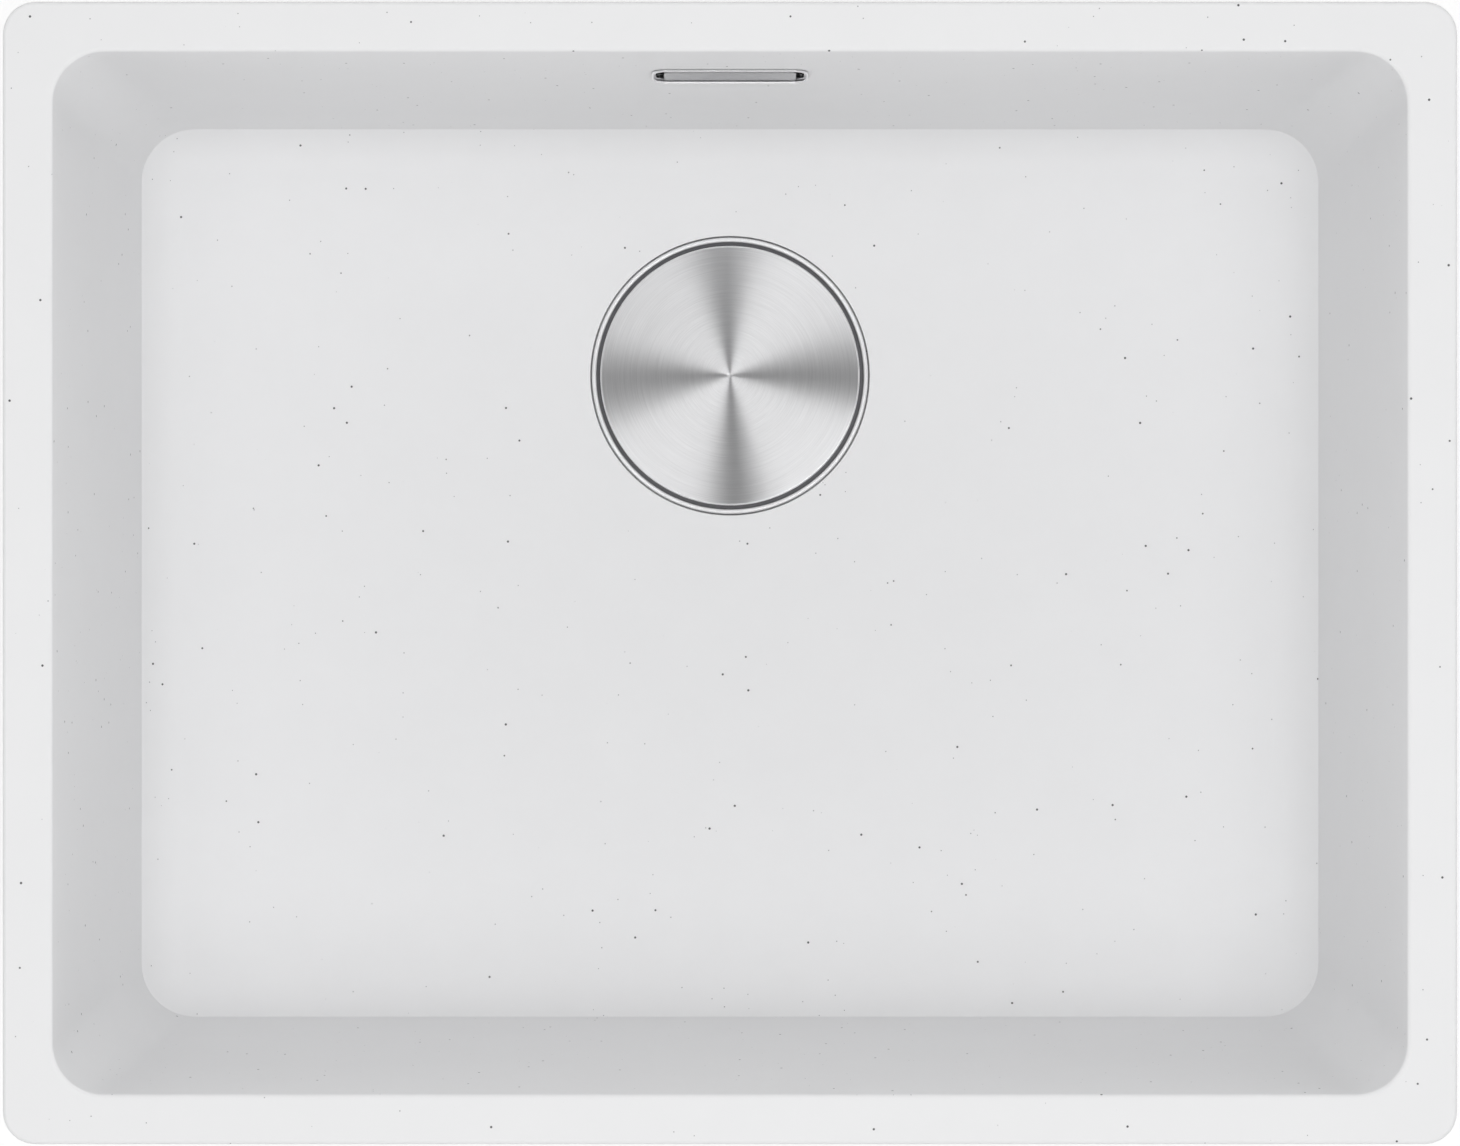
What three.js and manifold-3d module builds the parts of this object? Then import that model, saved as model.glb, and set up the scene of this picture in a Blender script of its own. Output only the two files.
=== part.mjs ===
// Undermount kitchen sink: a moulded composite bowl with its strainer waste and its overflow.
// Millimetres. The origin is the centre of the bowl's opening, in the flange's top face.
// +X runs to the right, +Y to the back wall with the overflow, +Z up.

import * as THREE from 'three';
import Module from 'manifold-3d';
import { mergeVertices } from 'three/addons/utils/BufferGeometryUtils.js';

// Gap left between pieces that touch
const SEAT_GAP = 0.3;

// Bowl
const OPENING_LENGTH = 517;
const OPENING_WIDTH = 398;
const OPENING_CORNER = 19.5;
const FLANGE_WIDTH = 19;
const FLANGE_THICKNESS = 10;
const FLANGE_CORNER = 12.5;
const EDGE_ROUND = 1.5;
const FLANGE_FILLET = 5;
const BOWL_DEPTH = 197.5;
const FLOOR_FALL = 2.5;
const FLOOR_THICKNESS = 12;
const FLOOR_CORNER = 22;
const FLOOR_FILLET = 14;
const WALL = 8;
const DRAFT = THREE.MathUtils.degToRad(5);

// Waste: its place in the floor, and the round seat cut for it
const DRAIN_INSET = 117.6;
const DRAIN_Y = OPENING_WIDTH / 2 - DRAIN_INSET;
const DRAIN_HOLE_CLEARANCE = 1;
const PAN_MARGIN = 9;
const RECESS_DEPTH = 5.5;

// Waste cup
const CUP_RADIUS = 44;
const CUP_RIM_WIDTH = 13;
const CUP_RIM_RADIUS = CUP_RADIUS + CUP_RIM_WIDTH;
const CUP_BEAD_WIDTH = 1.6;
const CUP_BEAD_RISE = 0.3;
const CUP_SHEET = 1;
const CUP_DEPTH = 48;
const CUP_BOTTOM_ROUND = 5;
const CUP_SLOTS = 8;
const CUP_SLOT_INNER = 11;
const CUP_SLOT_OUTER = 20;
const CUP_SLOT_SHARE = 0.66;

// Seals above and below the floor
const RIM_SEAL_THICKNESS = 1;
const LOWER_GASKET_THICKNESS = 2;

// Cover
const COVER_CLEARANCE = 1.8;
const COVER_RADIUS = CUP_RIM_RADIUS - CUP_BEAD_WIDTH - COVER_CLEARANCE;
const COVER_SHEET = 1.4;
const COVER_DOME = 1;
const COVER_EDGE_RISE = 1;
const COVER_EDGE_DROP = 1.6;
const COVER_FEET = 3;
const COVER_FOOT_RADIUS = 3;
const COVER_FOOT_INSET = 4.2;
const COVER_FOOT_CIRCLE = COVER_RADIUS - COVER_FOOT_INSET;

// Strainer basket
const BASKET_CLEARANCE = 0.8;
const BASKET_RIM_RADIUS = CUP_RADIUS - CUP_SHEET - BASKET_CLEARANCE;
const BASKET_RIM_DROP = 4;
const BASKET_SHEET = 0.8;
const BASKET_HEIGHT = 30;
const BASKET_TAPER = 5.7;
const BASKET_FOOT_RADIUS = BASKET_RIM_RADIUS - BASKET_TAPER;
const BASKET_SLOTS = 24;
const BASKET_SLOT_WIDTH = 2.4;
const BASKET_SLOT_MARGIN = 5;
const BASKET_HOLE_RADIUS = 1.6;
const BASKET_HOLE_MARGIN = 3.5;
const BASKET_HOLE_ROW = 4.5;
const BASKET_HOLE_ROWS = 2;
const BASKET_HOLES = 16;
const STOPPER_RADIUS = 26;
const STOPPER_HUB_RADIUS = 9.5;
const STOPPER_THICKNESS = 2.4;
const STEM_RADIUS = 2.4;
const STEM_COLLAR_RADIUS = 6.5;
const STEM_COLLAR_HEIGHT = 2;
const NUT_RADIUS = 4.6;
const NUT_HEIGHT = 3;
const KNOB_RADIUS = 10;
const KNOB_NECK_RADIUS = 5;
const KNOB_HEIGHT = 23;
const KNOB_TOP_HEIGHT = 5;
const CLIP_WALL = 0.9;
const CLIP_LENGTH = 6;
const CLIP_SPLIT = 1;

// Centre screw, its insert, and the spider that holds them
const SCREW_HEAD_RADIUS = 8.5;
const SCREW_HEAD_HEIGHT = 2.5;
const SCREW_LENGTH = 20;
const SCREW_WALL = 2;
const INSERT_WALL = 3;
const INSERT_HEIGHT = 10;
const BOSS_WALL = 4;
const SPIDER_RIBS = 4;
const SPIDER_RIB_THICKNESS = 3.2;
const SPIDER_RIB_DROP = 1;

// Waste body and the outlet cone under it
const BODY_CLEARANCE = 5;
const BODY_BORE_RADIUS = CUP_RADIUS + BODY_CLEARANCE;
const BODY_WALL = 3;
const BODY_FLANGE_WIDTH = 5.5;
const BODY_FLANGE_RADIUS = BODY_BORE_RADIUS + BODY_WALL + BODY_FLANGE_WIDTH;
const BODY_FLANGE_THICKNESS = 4;
const JOINT_LIP_WIDTH = 2;
const JOINT_LIP_THICKNESS = 2.4;
const BODY_FUNNEL_HEIGHT = 19;
const OUTLET_RADIUS = 23.9;
const OUTLET_WALL = 3.9;
const OUTLET_LENGTH = 17;

// Port for the overflow on the body's back, with its union nut
const PORT_RADIUS = 12;
const PORT_BORE_RADIUS = 7.5;
const PORT_LENGTH = 16;
const PORT_DROP = 14.5;
const UNION_SEAL_THICKNESS = 1.5;
const UNION_NUT_WALL = 3;
const UNION_NUT_LENGTH = 14;
const UNION_NUT_SIDES = 8;

// Overflow in the back wall; sizes across are half sizes from its centre
const OVERFLOW_DROP = 51.5;
const SURROUND_HALF_LENGTH = 30.5;
const SURROUND_HALF_HEIGHT = 10.2;
const SURROUND_CORNER = 6.4;
const SURROUND_PROUD = 2;
const SURROUND_LIP = 1.6;
const SLEEVE_WALL = 0.7;
const SLEEVE_LENGTH = 7.2;
const PLATE_HALF_LENGTH = 25.7;
const PLATE_THICKNESS = 1;
const PLATE_INSET = 0.2;
const PLATE_MARGIN = 0.4;
const BAR_X = 18;
const BAR_WIDTH = 8;
const BAR_THICKNESS = 3;
const POST_RADIUS = 1.4;
const POST_LENGTH = 6.8;
const FIXING_OFFSET = 4;
const FIXING_SHANK_RADIUS = 1.6;
const FIXING_HEAD_RADIUS = 3;
const FIXING_HEAD_HEIGHT = 1.6;
const FIXING_LENGTH = 16;

// Elbow behind the wall
const OVERFLOW_GASKET_THICKNESS = 1.5;
const ELBOW_MARGIN = 5.5;
const ELBOW_PLATE = 2.2;
const ELBOW_WALL = 1.6;
const ELBOW_DEPTH = 9.6;
const ELBOW_FUNNEL = 21;
const SPIGOT_RADIUS = 6.2;
const SPIGOT_WALL = 1.2;
const BOSS_RADIUS = 3.4;

// Ribbed overflow pipe
const PIPE_RADIUS = 8.6;
const PIPE_WALL_OFFSET = 0.8;
const PIPE_ROOT_DEPTH = 1.3;
const PIPE_WALL = 1.2;
const PIPE_RIB_PITCH = 4;
const PIPE_CUFF = 16;
const PIPE_COLLAR = 2;
const PIPE_COLLAR_RISE = 2.6;
const PIPE_LEAD = 17;
const PIPE_END_STRAIGHT = 17.5;
const PIPE_SIDES = 10;
const BORE_RIB_STEP = 5;

// Smoothness of round forms
const ROUND_LARGE = 48;
const ROUND_MEDIUM = 28;
const ROUND_SMALL = 16;
const BOWL_STEPS = { corner: 6, long: 5, short: 3 };
const PLATE_STEPS = { corner: 4, long: 1, short: 1 };
const FILLET_STEPS = 5;
const EDGE_STEPS = 3;
const HOLE_SIDES = 6;
const SLOT_STEPS = 4;

// Heights and places worked out from the sizes above
const PAN_Z = -BOWL_DEPTH - FLOOR_FALL;
const PAN_RADIUS = CUP_RIM_RADIUS + PAN_MARGIN;
const DRAIN_HOLE_RADIUS = CUP_RADIUS + DRAIN_HOLE_CLEARANCE;
const RECESS_Z = PAN_Z - RECESS_DEPTH;
const UNDERSIDE_Z = PAN_Z - FLOOR_THICKNESS;
const CUP_FLANGE_Z = RECESS_Z + 2 * SEAT_GAP + RIM_SEAL_THICKNESS + CUP_SHEET;
const CUP_FLOOR_Z = CUP_FLANGE_Z - CUP_DEPTH;
const CUP_BASE_Z = CUP_FLOOR_Z - CUP_SHEET;
const BODY_TOP_Z = UNDERSIDE_Z - LOWER_GASKET_THICKNESS - 2 * SEAT_GAP;
const CONE_TOP_Z = CUP_BASE_Z - SEAT_GAP;
const BODY_NECK_Z = CONE_TOP_Z - INSERT_HEIGHT / 2;
const FUNNEL_END_Z = BODY_NECK_Z - BODY_FUNNEL_HEIGHT;
const OUTLET_Z = FUNNEL_END_Z - OUTLET_LENGTH;
const PORT_Z = BODY_TOP_Z - BODY_FLANGE_THICKNESS - PORT_DROP;
const PORT_END_Y = DRAIN_Y + BODY_BORE_RADIUS + BODY_WALL + PORT_LENGTH;

// Closed solids and booleans

const wasm = await Module();
wasm.setup();

// A solid from a closed geometry, its shared corners merged and its faces turned out
function solid(geometry) {
  const bare = geometry.clone();
  bare.deleteAttribute('normal');
  bare.deleteAttribute('uv');
  const merged = mergeVertices(bare);
  const points = merged.getAttribute('position').array;
  const corners = merged.getIndex().array;
  const faces = [];
  for (let i = 0; i < corners.length; i += 3) {
    const [a, b, c] = [corners[i], corners[i + 1], corners[i + 2]];
    if (a !== b && b !== c && c !== a) {
      faces.push(a, b, c);
    }
  }
  if (signedVolume(points, faces) < 0) {
    faces.reverse();
  }
  return new wasm.Manifold(new wasm.Mesh({
    numProp: 3,
    vertProperties: new Float32Array(points),
    triVerts: new Uint32Array(faces),
  }));
}

// Six times the volume that the faces enclose, below zero when they face inward
function signedVolume(points, faces) {
  const [a, b, c] = [new THREE.Vector3(), new THREE.Vector3(), new THREE.Vector3()];
  let total = 0;
  for (let i = 0; i < faces.length; i += 3) {
    a.fromArray(points, 3 * faces[i]);
    b.fromArray(points, 3 * faces[i + 1]);
    c.fromArray(points, 3 * faces[i + 2]);
    total += a.dot(b.cross(c));
  }
  return total;
}

// The geometry of a finished solid
function geometryOf(body) {
  const result = body.getMesh();
  const geometry = new THREE.BufferGeometry();
  geometry.setAttribute('position', new THREE.BufferAttribute(result.vertProperties, 3));
  geometry.setIndex(new THREE.BufferAttribute(result.triVerts, 1));
  geometry.computeVertexNormals();
  return geometry;
}

function joined(bodies) {
  return bodies.reduce((whole, body) => whole.add(body));
}

function cutBy(body, cutters) {
  return cutters.reduce((rest, cutter) => rest.subtract(cutter), body);
}

// A body turned about the Z axis from a profile of [radius, height] points
function turned(profile, steps = ROUND_MEDIUM) {
  const onAxis = profile[0][0] === 0;
  const outline = onAxis ? profile : [...profile, profile[0]];
  const points = outline.map(([radius, height]) => new THREE.Vector2(radius, height));
  return solid(new THREE.LatheGeometry(points, steps).rotateX(Math.PI / 2));
}

// A round bar along Z from one height to another
function bar(radius, low, high, steps = ROUND_SMALL) {
  return turned([[0, low], [radius, low], [radius, high], [0, high]], steps);
}

// A ring along Z with a square section
function ringBody(inner, outer, low, high, steps = ROUND_MEDIUM) {
  return turned([[inner, low], [outer, low], [outer, high], [inner, high]], steps);
}

function block(lengthX, lengthY, lengthZ, x, y, z) {
  return solid(new THREE.BoxGeometry(lengthX, lengthY, lengthZ).translate(x, y, z));
}

// A body through outlines that have the same number of points, flat at both ends
function loft(rings) {
  const count = rings[0].length;
  const points = rings.flat();
  const faces = [];
  for (let k = 0; k + 1 < rings.length; k += 1) {
    joinRings(faces, k * count, (k + 1) * count, count);
  }
  const last = rings.length - 1;
  points.push(middleOf(rings[0]), middleOf(rings[last]));
  for (let i = 0; i < count; i += 1) {
    const next = (i + 1) % count;
    faces.push(points.length - 2, next, i);
    faces.push(points.length - 1, last * count + i, last * count + next);
  }
  return solid(indexed(points, faces));
}

// A tube through a loop of outlines, the last joined to the first
function loopedLoft(rings) {
  const count = rings[0].length;
  const faces = [];
  rings.forEach((ring, k) => {
    joinRings(faces, k * count, ((k + 1) % rings.length) * count, count);
  });
  return solid(indexed(rings.flat(), faces));
}

function joinRings(faces, start, end, count) {
  for (let i = 0; i < count; i += 1) {
    const next = (i + 1) % count;
    faces.push(start + i, start + next, end + next);
    faces.push(start + i, end + next, end + i);
  }
}

function middleOf(ring) {
  const middle = new THREE.Vector3();
  ring.forEach((point) => middle.add(point));
  return middle.divideScalar(ring.length);
}

function indexed(points, faces) {
  const geometry = new THREE.BufferGeometry();
  const flat = points.flatMap((point) => point.toArray());
  geometry.setAttribute('position', new THREE.Float32BufferAttribute(flat, 3));
  geometry.setIndex(faces);
  return geometry;
}

// A level rectangle with round corners, as points in order round it
function roundedRing(halfX, halfY, radius, z, steps, centreY = 0) {
  const corner = Math.min(radius, halfX, halfY);
  const ring = [];
  for (let quarter = 0; quarter < 4; quarter += 1) {
    const signX = quarter === 0 || quarter === 3 ? 1 : -1;
    const signY = quarter < 2 ? 1 : -1;
    const middleX = signX * (halfX - corner);
    const middleY = signY * (halfY - corner);
    for (let step = 0; step <= steps.corner; step += 1) {
      const angle = (quarter + step / steps.corner) * Math.PI / 2;
      const x = middleX + corner * Math.cos(angle);
      const y = middleY + corner * Math.sin(angle);
      ring.push(new THREE.Vector3(x, centreY + y, z));
    }
    const sideSteps = quarter % 2 === 0 ? steps.long : steps.short;
    const from = ring[ring.length - 1];
    const run = quarter % 2 === 0 ? 2 * (halfX - corner) : 2 * (halfY - corner);
    for (let step = 1; step < sideSteps; step += 1) {
      const along = run * step / sideSteps;
      const x = from.x - (quarter % 2 === 0 ? signY * along : 0);
      const y = from.y + (quarter % 2 === 1 ? signX * along : 0);
      ring.push(new THREE.Vector3(x, y, z));
    }
  }
  return ring;
}

// Bowl

// How far the wall's inner face has come in from the opening's edge at a height, as a minus value
function wallOffset(z) {
  return z * Math.tan(DRAFT);
}

// An outline parallel to the opening's edge, moved out by a distance
function bowlRing(out, corner, z) {
  return roundedRing(OPENING_LENGTH / 2 + out, OPENING_WIDTH / 2 + out, corner, z, BOWL_STEPS);
}

// The wall's outline at a height, moved out by a distance
function wallRing(offset, z, radiusChange = 0) {
  const share = Math.min(1, Math.max(0, -z / BOWL_DEPTH));
  const corner = OPENING_CORNER + (FLOOR_CORNER - OPENING_CORNER) * share;
  const out = wallOffset(z) + offset;
  return bowlRing(out, corner + radiusChange, z);
}

// Outlines round the curve between a wall, set out by a distance, and the floor at a height
function floorFillet(outset, floorZ, fillet) {
  const centreZ = floorZ + fillet;
  const centreOut = wallOffset(centreZ) + outset - fillet / Math.cos(DRAFT);
  const startOut = centreOut + fillet * Math.cos(DRAFT);
  const rings = [];
  for (let step = 0; step <= FILLET_STEPS; step += 1) {
    const angle = -DRAFT - (Math.PI / 2 - DRAFT) * step / FILLET_STEPS;
    const out = centreOut + fillet * Math.cos(angle);
    const z = centreZ + fillet * Math.sin(angle);
    const corner = FLOOR_CORNER + outset + out - startOut;
    rings.push(bowlRing(out, corner, z));
  }
  return rings;
}

// Outlines round a quarter circle, each made from how far round the quarter its angle is
function edgeRings(outline) {
  const rings = [];
  for (let step = 0; step <= EDGE_STEPS; step += 1) {
    const angle = Math.PI / 2 * step / EDGE_STEPS;
    rings.push(outline(1 - Math.sin(angle), 1 - Math.cos(angle)));
  }
  return rings;
}

// The flange's outline at a height, moved in by a distance
function flangeRing(inset, z) {
  return bowlRing(FLANGE_WIDTH - inset, FLANGE_CORNER - inset, z);
}

function bowlOutside() {
  const wall = WALL / Math.cos(DRAFT);
  const bottomEdge = EDGE_ROUND / 2;
  const fillet = FLANGE_FILLET;
  return loft([
    ...edgeRings((inset, drop) => flangeRing(EDGE_ROUND * inset, -EDGE_ROUND * drop)),
    flangeRing(0, bottomEdge - FLANGE_THICKNESS),
    flangeRing(bottomEdge, -FLANGE_THICKNESS),
    ...edgeRings((out, drop) => wallRing(
      wall + fillet * out, -FLANGE_THICKNESS - fillet * drop, wall + fillet * out,
    )),
    ...floorFillet(wall, UNDERSIDE_Z, FLOOR_FILLET + WALL),
  ]);
}

function bowlInside() {
  const fillet = floorFillet(0, -BOWL_DEPTH, FLOOR_FILLET);
  return loft([
    wallRing(EDGE_ROUND, 1, EDGE_ROUND),
    ...edgeRings((out, drop) => wallRing(EDGE_ROUND * out, -EDGE_ROUND * drop, EDGE_ROUND * out)),
    ...fillet,
    panRing(fillet[fillet.length - 1]),
  ]);
}

// The level circle round the waste, its points in line with those of the floor's edge
function panRing(floorEdge) {
  const centre = new THREE.Vector3(0, DRAIN_Y, PAN_Z);
  return floorEdge.map((point) => {
    const spoke = new THREE.Vector3(point.x, point.y - DRAIN_Y, 0);
    return spoke.setLength(PAN_RADIUS).add(centre);
  });
}

function makeBowl() {
  const recess = bar(CUP_RIM_RADIUS + 2 * SEAT_GAP, RECESS_Z, PAN_Z + RECESS_DEPTH, ROUND_LARGE);
  const hole = bar(DRAIN_HOLE_RADIUS, UNDERSIDE_Z - 1, RECESS_Z + 1, ROUND_LARGE);
  const slot = inOverflow(plateBody(MOUTH_HALF_LENGTH, MOUTH_HALF_HEIGHT, MOUTH_CORNER, -WALL, 2 * WALL));
  return cutBy(bowlOutside(), [
    bowlInside(),
    recess.translate(0, DRAIN_Y, 0),
    hole.translate(0, DRAIN_Y, 0),
    slot,
  ]);
}

// Overflow fittings, in their own frame: X along the wall, Y out through it, Z up along it.
// Its origin is the opening's centre on the wall's inner face.

const OVERFLOW_Y = OPENING_WIDTH / 2 + wallOffset(-OVERFLOW_DROP);
const SLEEVE_HALF_LENGTH = SURROUND_HALF_LENGTH - SURROUND_LIP + SLEEVE_WALL;
const SLEEVE_HALF_HEIGHT = SURROUND_HALF_HEIGHT - SURROUND_LIP + SLEEVE_WALL;
const SLEEVE_CORNER = SURROUND_CORNER - SURROUND_LIP + SLEEVE_WALL;
const PLATE_FACE = PLATE_INSET - SURROUND_PROUD;
const BAR_FACE = SLEEVE_LENGTH - 2 * BAR_THICKNESS + SEAT_GAP;
const FIXING_HEAD_FACE = BAR_FACE - SEAT_GAP - FIXING_HEAD_HEIGHT;
const ELBOW_FACE = WALL + 2 * SEAT_GAP + OVERFLOW_GASKET_THICKNESS;
const ELBOW_BACK = ELBOW_FACE + ELBOW_DEPTH;
const MOUTH_HALF_LENGTH = SLEEVE_HALF_LENGTH + SEAT_GAP;
const MOUTH_HALF_HEIGHT = SLEEVE_HALF_HEIGHT + SEAT_GAP;
const MOUTH_CORNER = SLEEVE_CORNER + SEAT_GAP;
const FUNNEL_TOP = -MOUTH_HALF_HEIGHT;
const PIPE_OUT = WALL + PIPE_WALL_OFFSET + PIPE_RADIUS;
const SPIGOT_TOP = FUNNEL_TOP - ELBOW_FUNNEL;
const PIPE_START = SPIGOT_TOP - SEAT_GAP;
const SPIGOT_END = PIPE_START - PIPE_CUFF + 2 * SEAT_GAP;

function inOverflow(body) {
  return body.rotate([-THREE.MathUtils.radToDeg(DRAFT), 0, 0]).translate([0, OVERFLOW_Y, -OVERFLOW_DROP]);
}

// A plate with round corners in the wall's plane, between two distances out through the wall
function plateBody(halfLength, halfHeight, corner, near, far) {
  const ring = (z) => roundedRing(halfLength, halfHeight, corner, z, PLATE_STEPS);
  return loft([ring(0), ring(far - near)]).rotate([90, 0, 0]).translate([0, far, 0]);
}

// A round bar that runs out through the wall
function wallBar(radius, near, far, x, z) {
  return bar(radius, 0, far - near, ROUND_SMALL).rotate([90, 0, 0]).translate([x, far, z]);
}

function makeSurround() {
  const insideLength = SURROUND_HALF_LENGTH - SURROUND_LIP;
  const insideHeight = SURROUND_HALF_HEIGHT - SURROUND_LIP;
  const insideCorner = SURROUND_CORNER - SURROUND_LIP;
  const lip = plateBody(
    SURROUND_HALF_LENGTH, SURROUND_HALF_HEIGHT, SURROUND_CORNER, -SURROUND_PROUD, -SEAT_GAP,
  );
  const sleeve = plateBody(
    SLEEVE_HALF_LENGTH, SLEEVE_HALF_HEIGHT, SLEEVE_CORNER, -SURROUND_PROUD / 2, SLEEVE_LENGTH,
  );
  const inside = plateBody(insideLength, insideHeight, insideCorner, -2 * SURROUND_PROUD, 2 * SLEEVE_LENGTH);
  const shell = lip.add(sleeve).subtract(inside);
  const height = 2 * insideHeight + SLEEVE_WALL;
  const bars = [-BAR_X, BAR_X].map((x) => cutBy(
    block(BAR_WIDTH, BAR_THICKNESS, height, x, BAR_FACE + BAR_THICKNESS / 2, 0),
    [
      wallBar(FIXING_SHANK_RADIUS + SEAT_GAP, BAR_FACE - 1, BAR_FACE + 2 * BAR_THICKNESS, x, -FIXING_OFFSET),
      wallBar(POST_RADIUS + SEAT_GAP, BAR_FACE - 1, BAR_FACE + 2 * BAR_THICKNESS, x, FIXING_OFFSET),
    ],
  ));
  return joined([shell, ...bars]);
}

function makePlate() {
  const halfHeight = SURROUND_HALF_HEIGHT - SURROUND_LIP - PLATE_MARGIN;
  const corner = SURROUND_CORNER - SURROUND_LIP - PLATE_MARGIN;
  const back = PLATE_FACE + PLATE_THICKNESS;
  const face = plateBody(PLATE_HALF_LENGTH, halfHeight, corner / 2, PLATE_FACE, back);
  const posts = [-BAR_X, BAR_X].map(
    (x) => wallBar(POST_RADIUS, back - PLATE_THICKNESS / 2, back + POST_LENGTH, x, FIXING_OFFSET),
  );
  return joined([face, ...posts]);
}

// The outline that the elbow's flange and its gasket share
function elbowFlange(near, far) {
  return plateBody(
    MOUTH_HALF_LENGTH + ELBOW_MARGIN, MOUTH_HALF_HEIGHT + ELBOW_MARGIN, MOUTH_CORNER + ELBOW_MARGIN,
    near, far,
  );
}

function makeOverflowGasket() {
  const near = WALL + SEAT_GAP;
  const far = near + OVERFLOW_GASKET_THICKNESS;
  const outline = elbowFlange(near, far);
  return outline.subtract(plateBody(MOUTH_HALF_LENGTH, MOUTH_HALF_HEIGHT, MOUTH_CORNER, near - 1, far + 1));
}

// The elbow's funnel: from the box's full width down to the spigot
function funnel(wall) {
  const near = ELBOW_FACE + ELBOW_WALL - wall;
  const far = ELBOW_BACK - ELBOW_WALL + wall;
  const half = (far - near) / 2;
  const radius = SPIGOT_RADIUS - SPIGOT_WALL + (wall > 0 ? SPIGOT_WALL : 0);
  const middle = (far + near) / 2;
  const reach = wall > 0 ? 0 : 1;
  const tube = (z) => roundedRing(radius, radius, radius, z, PLATE_STEPS, PIPE_OUT);
  const mouth = (halfLength, z) => roundedRing(halfLength + wall, half, half / 2, z, PLATE_STEPS, middle);
  return loft([
    tube(SPIGOT_END - reach),
    tube(SPIGOT_TOP),
    mouth(MOUTH_HALF_LENGTH / 2, FUNNEL_TOP - ELBOW_FUNNEL / 3),
    mouth(MOUTH_HALF_LENGTH - ELBOW_WALL, FUNNEL_TOP),
    mouth(MOUTH_HALF_LENGTH - ELBOW_WALL, FUNNEL_TOP + ELBOW_WALL),
  ]);
}

function makeElbow() {
  const plate = elbowFlange(ELBOW_FACE, ELBOW_FACE + ELBOW_PLATE);
  const boxBody = plateBody(
    MOUTH_HALF_LENGTH + ELBOW_WALL, MOUTH_HALF_HEIGHT + ELBOW_WALL, MOUTH_CORNER + ELBOW_WALL,
    ELBOW_FACE, ELBOW_BACK,
  );
  const inside = plateBody(
    MOUTH_HALF_LENGTH, MOUTH_HALF_HEIGHT, MOUTH_CORNER, ELBOW_FACE - 1, ELBOW_BACK - ELBOW_WALL,
  );
  const shell = cutBy(joined([plate, boxBody, funnel(ELBOW_WALL)]), [inside, funnel(0)]);
  const bossEnd = ELBOW_BACK - ELBOW_WALL / 2;
  const bosses = [-BAR_X, BAR_X].map((x) => cutBy(
    wallBar(BOSS_RADIUS, ELBOW_FACE + SEAT_GAP, bossEnd, x, -FIXING_OFFSET),
    [wallBar(FIXING_SHANK_RADIUS + SEAT_GAP, ELBOW_FACE - 1, bossEnd - ELBOW_WALL, x, -FIXING_OFFSET)],
  ));
  return joined([shell, ...bosses]);
}

function makeFixingScrew(x) {
  const shankStart = FIXING_HEAD_FACE + FIXING_HEAD_HEIGHT;
  const shankEnd = FIXING_HEAD_FACE + FIXING_LENGTH;
  const drive = FIXING_HEAD_HEIGHT / 2;
  const shank = wallBar(FIXING_SHANK_RADIUS, shankStart - drive, shankEnd, x, -FIXING_OFFSET);
  const head = wallBar(FIXING_HEAD_RADIUS, FIXING_HEAD_FACE, shankStart, x, -FIXING_OFFSET);
  const slotAcross = block(FIXING_HEAD_RADIUS, drive, drive, x, FIXING_HEAD_FACE, -FIXING_OFFSET);
  const slotUp = block(drive, drive, FIXING_HEAD_RADIUS, x, FIXING_HEAD_FACE, -FIXING_OFFSET);
  return cutBy(head.add(shank), [slotAcross, slotUp]);
}

// Ribbed pipe: down along the back wall, round under the floor and forward to the body's port

const PIPE_END_Y = PORT_END_Y + 2 * SEAT_GAP + UNION_SEAL_THICKNESS;

// The pipe's middle line as a list of places with the direction across it, in the plane x = 0
function pipeLine() {
  const down = new THREE.Vector3(0, -Math.sin(DRAFT), -Math.cos(DRAFT));
  const inward = new THREE.Vector3(0, -Math.cos(DRAFT), Math.sin(DRAFT));
  const start = new THREE.Vector3(0, OVERFLOW_Y, -OVERFLOW_DROP)
    .addScaledVector(inward, -PIPE_OUT)
    .addScaledVector(down, -PIPE_START);
  const room = start.y - Math.tan(DRAFT) * (start.z - PORT_Z) - PIPE_END_Y - PIPE_END_STRAIGHT;
  const bend = room / (Math.cos(DRAFT) - Math.tan(DRAFT) * (1 - Math.sin(DRAFT)));
  const bendZ = PORT_Z + bend * (1 - Math.sin(DRAFT));
  const straight = (start.z - bendZ) / Math.cos(DRAFT);
  const centre = start.clone().addScaledVector(down, straight).addScaledVector(inward, bend);
  const turn = Math.PI / 2 - DRAFT;
  const arc = bend * turn;
  const last = centre.y - PIPE_END_Y;
  return {
    length: straight + arc + last,
    straight,
    arc,
    at(along) {
      if (along <= straight) {
        return { place: start.clone().addScaledVector(down, along), across: inward.clone().negate() };
      }
      const angle = Math.min(turn, (along - straight) / bend);
      const across = new THREE.Vector3(0, Math.cos(DRAFT + angle), -Math.sin(DRAFT + angle));
      const place = centre.clone().addScaledVector(across, bend);
      const beyond = Math.max(0, along - straight - arc);
      place.y -= beyond;
      return { place, across };
    },
  };
}

function pipeRing(line, along, radius) {
  const { place, across } = line.at(along);
  const side = new THREE.Vector3(1, 0, 0);
  const ring = [];
  for (let i = 0; i < PIPE_SIDES; i += 1) {
    const angle = 2 * Math.PI * (i + 0.5) / PIPE_SIDES;
    const point = place.clone().addScaledVector(across, radius * Math.cos(angle));
    ring.push(point.addScaledVector(side, radius * Math.sin(angle)));
  }
  return ring;
}

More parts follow.
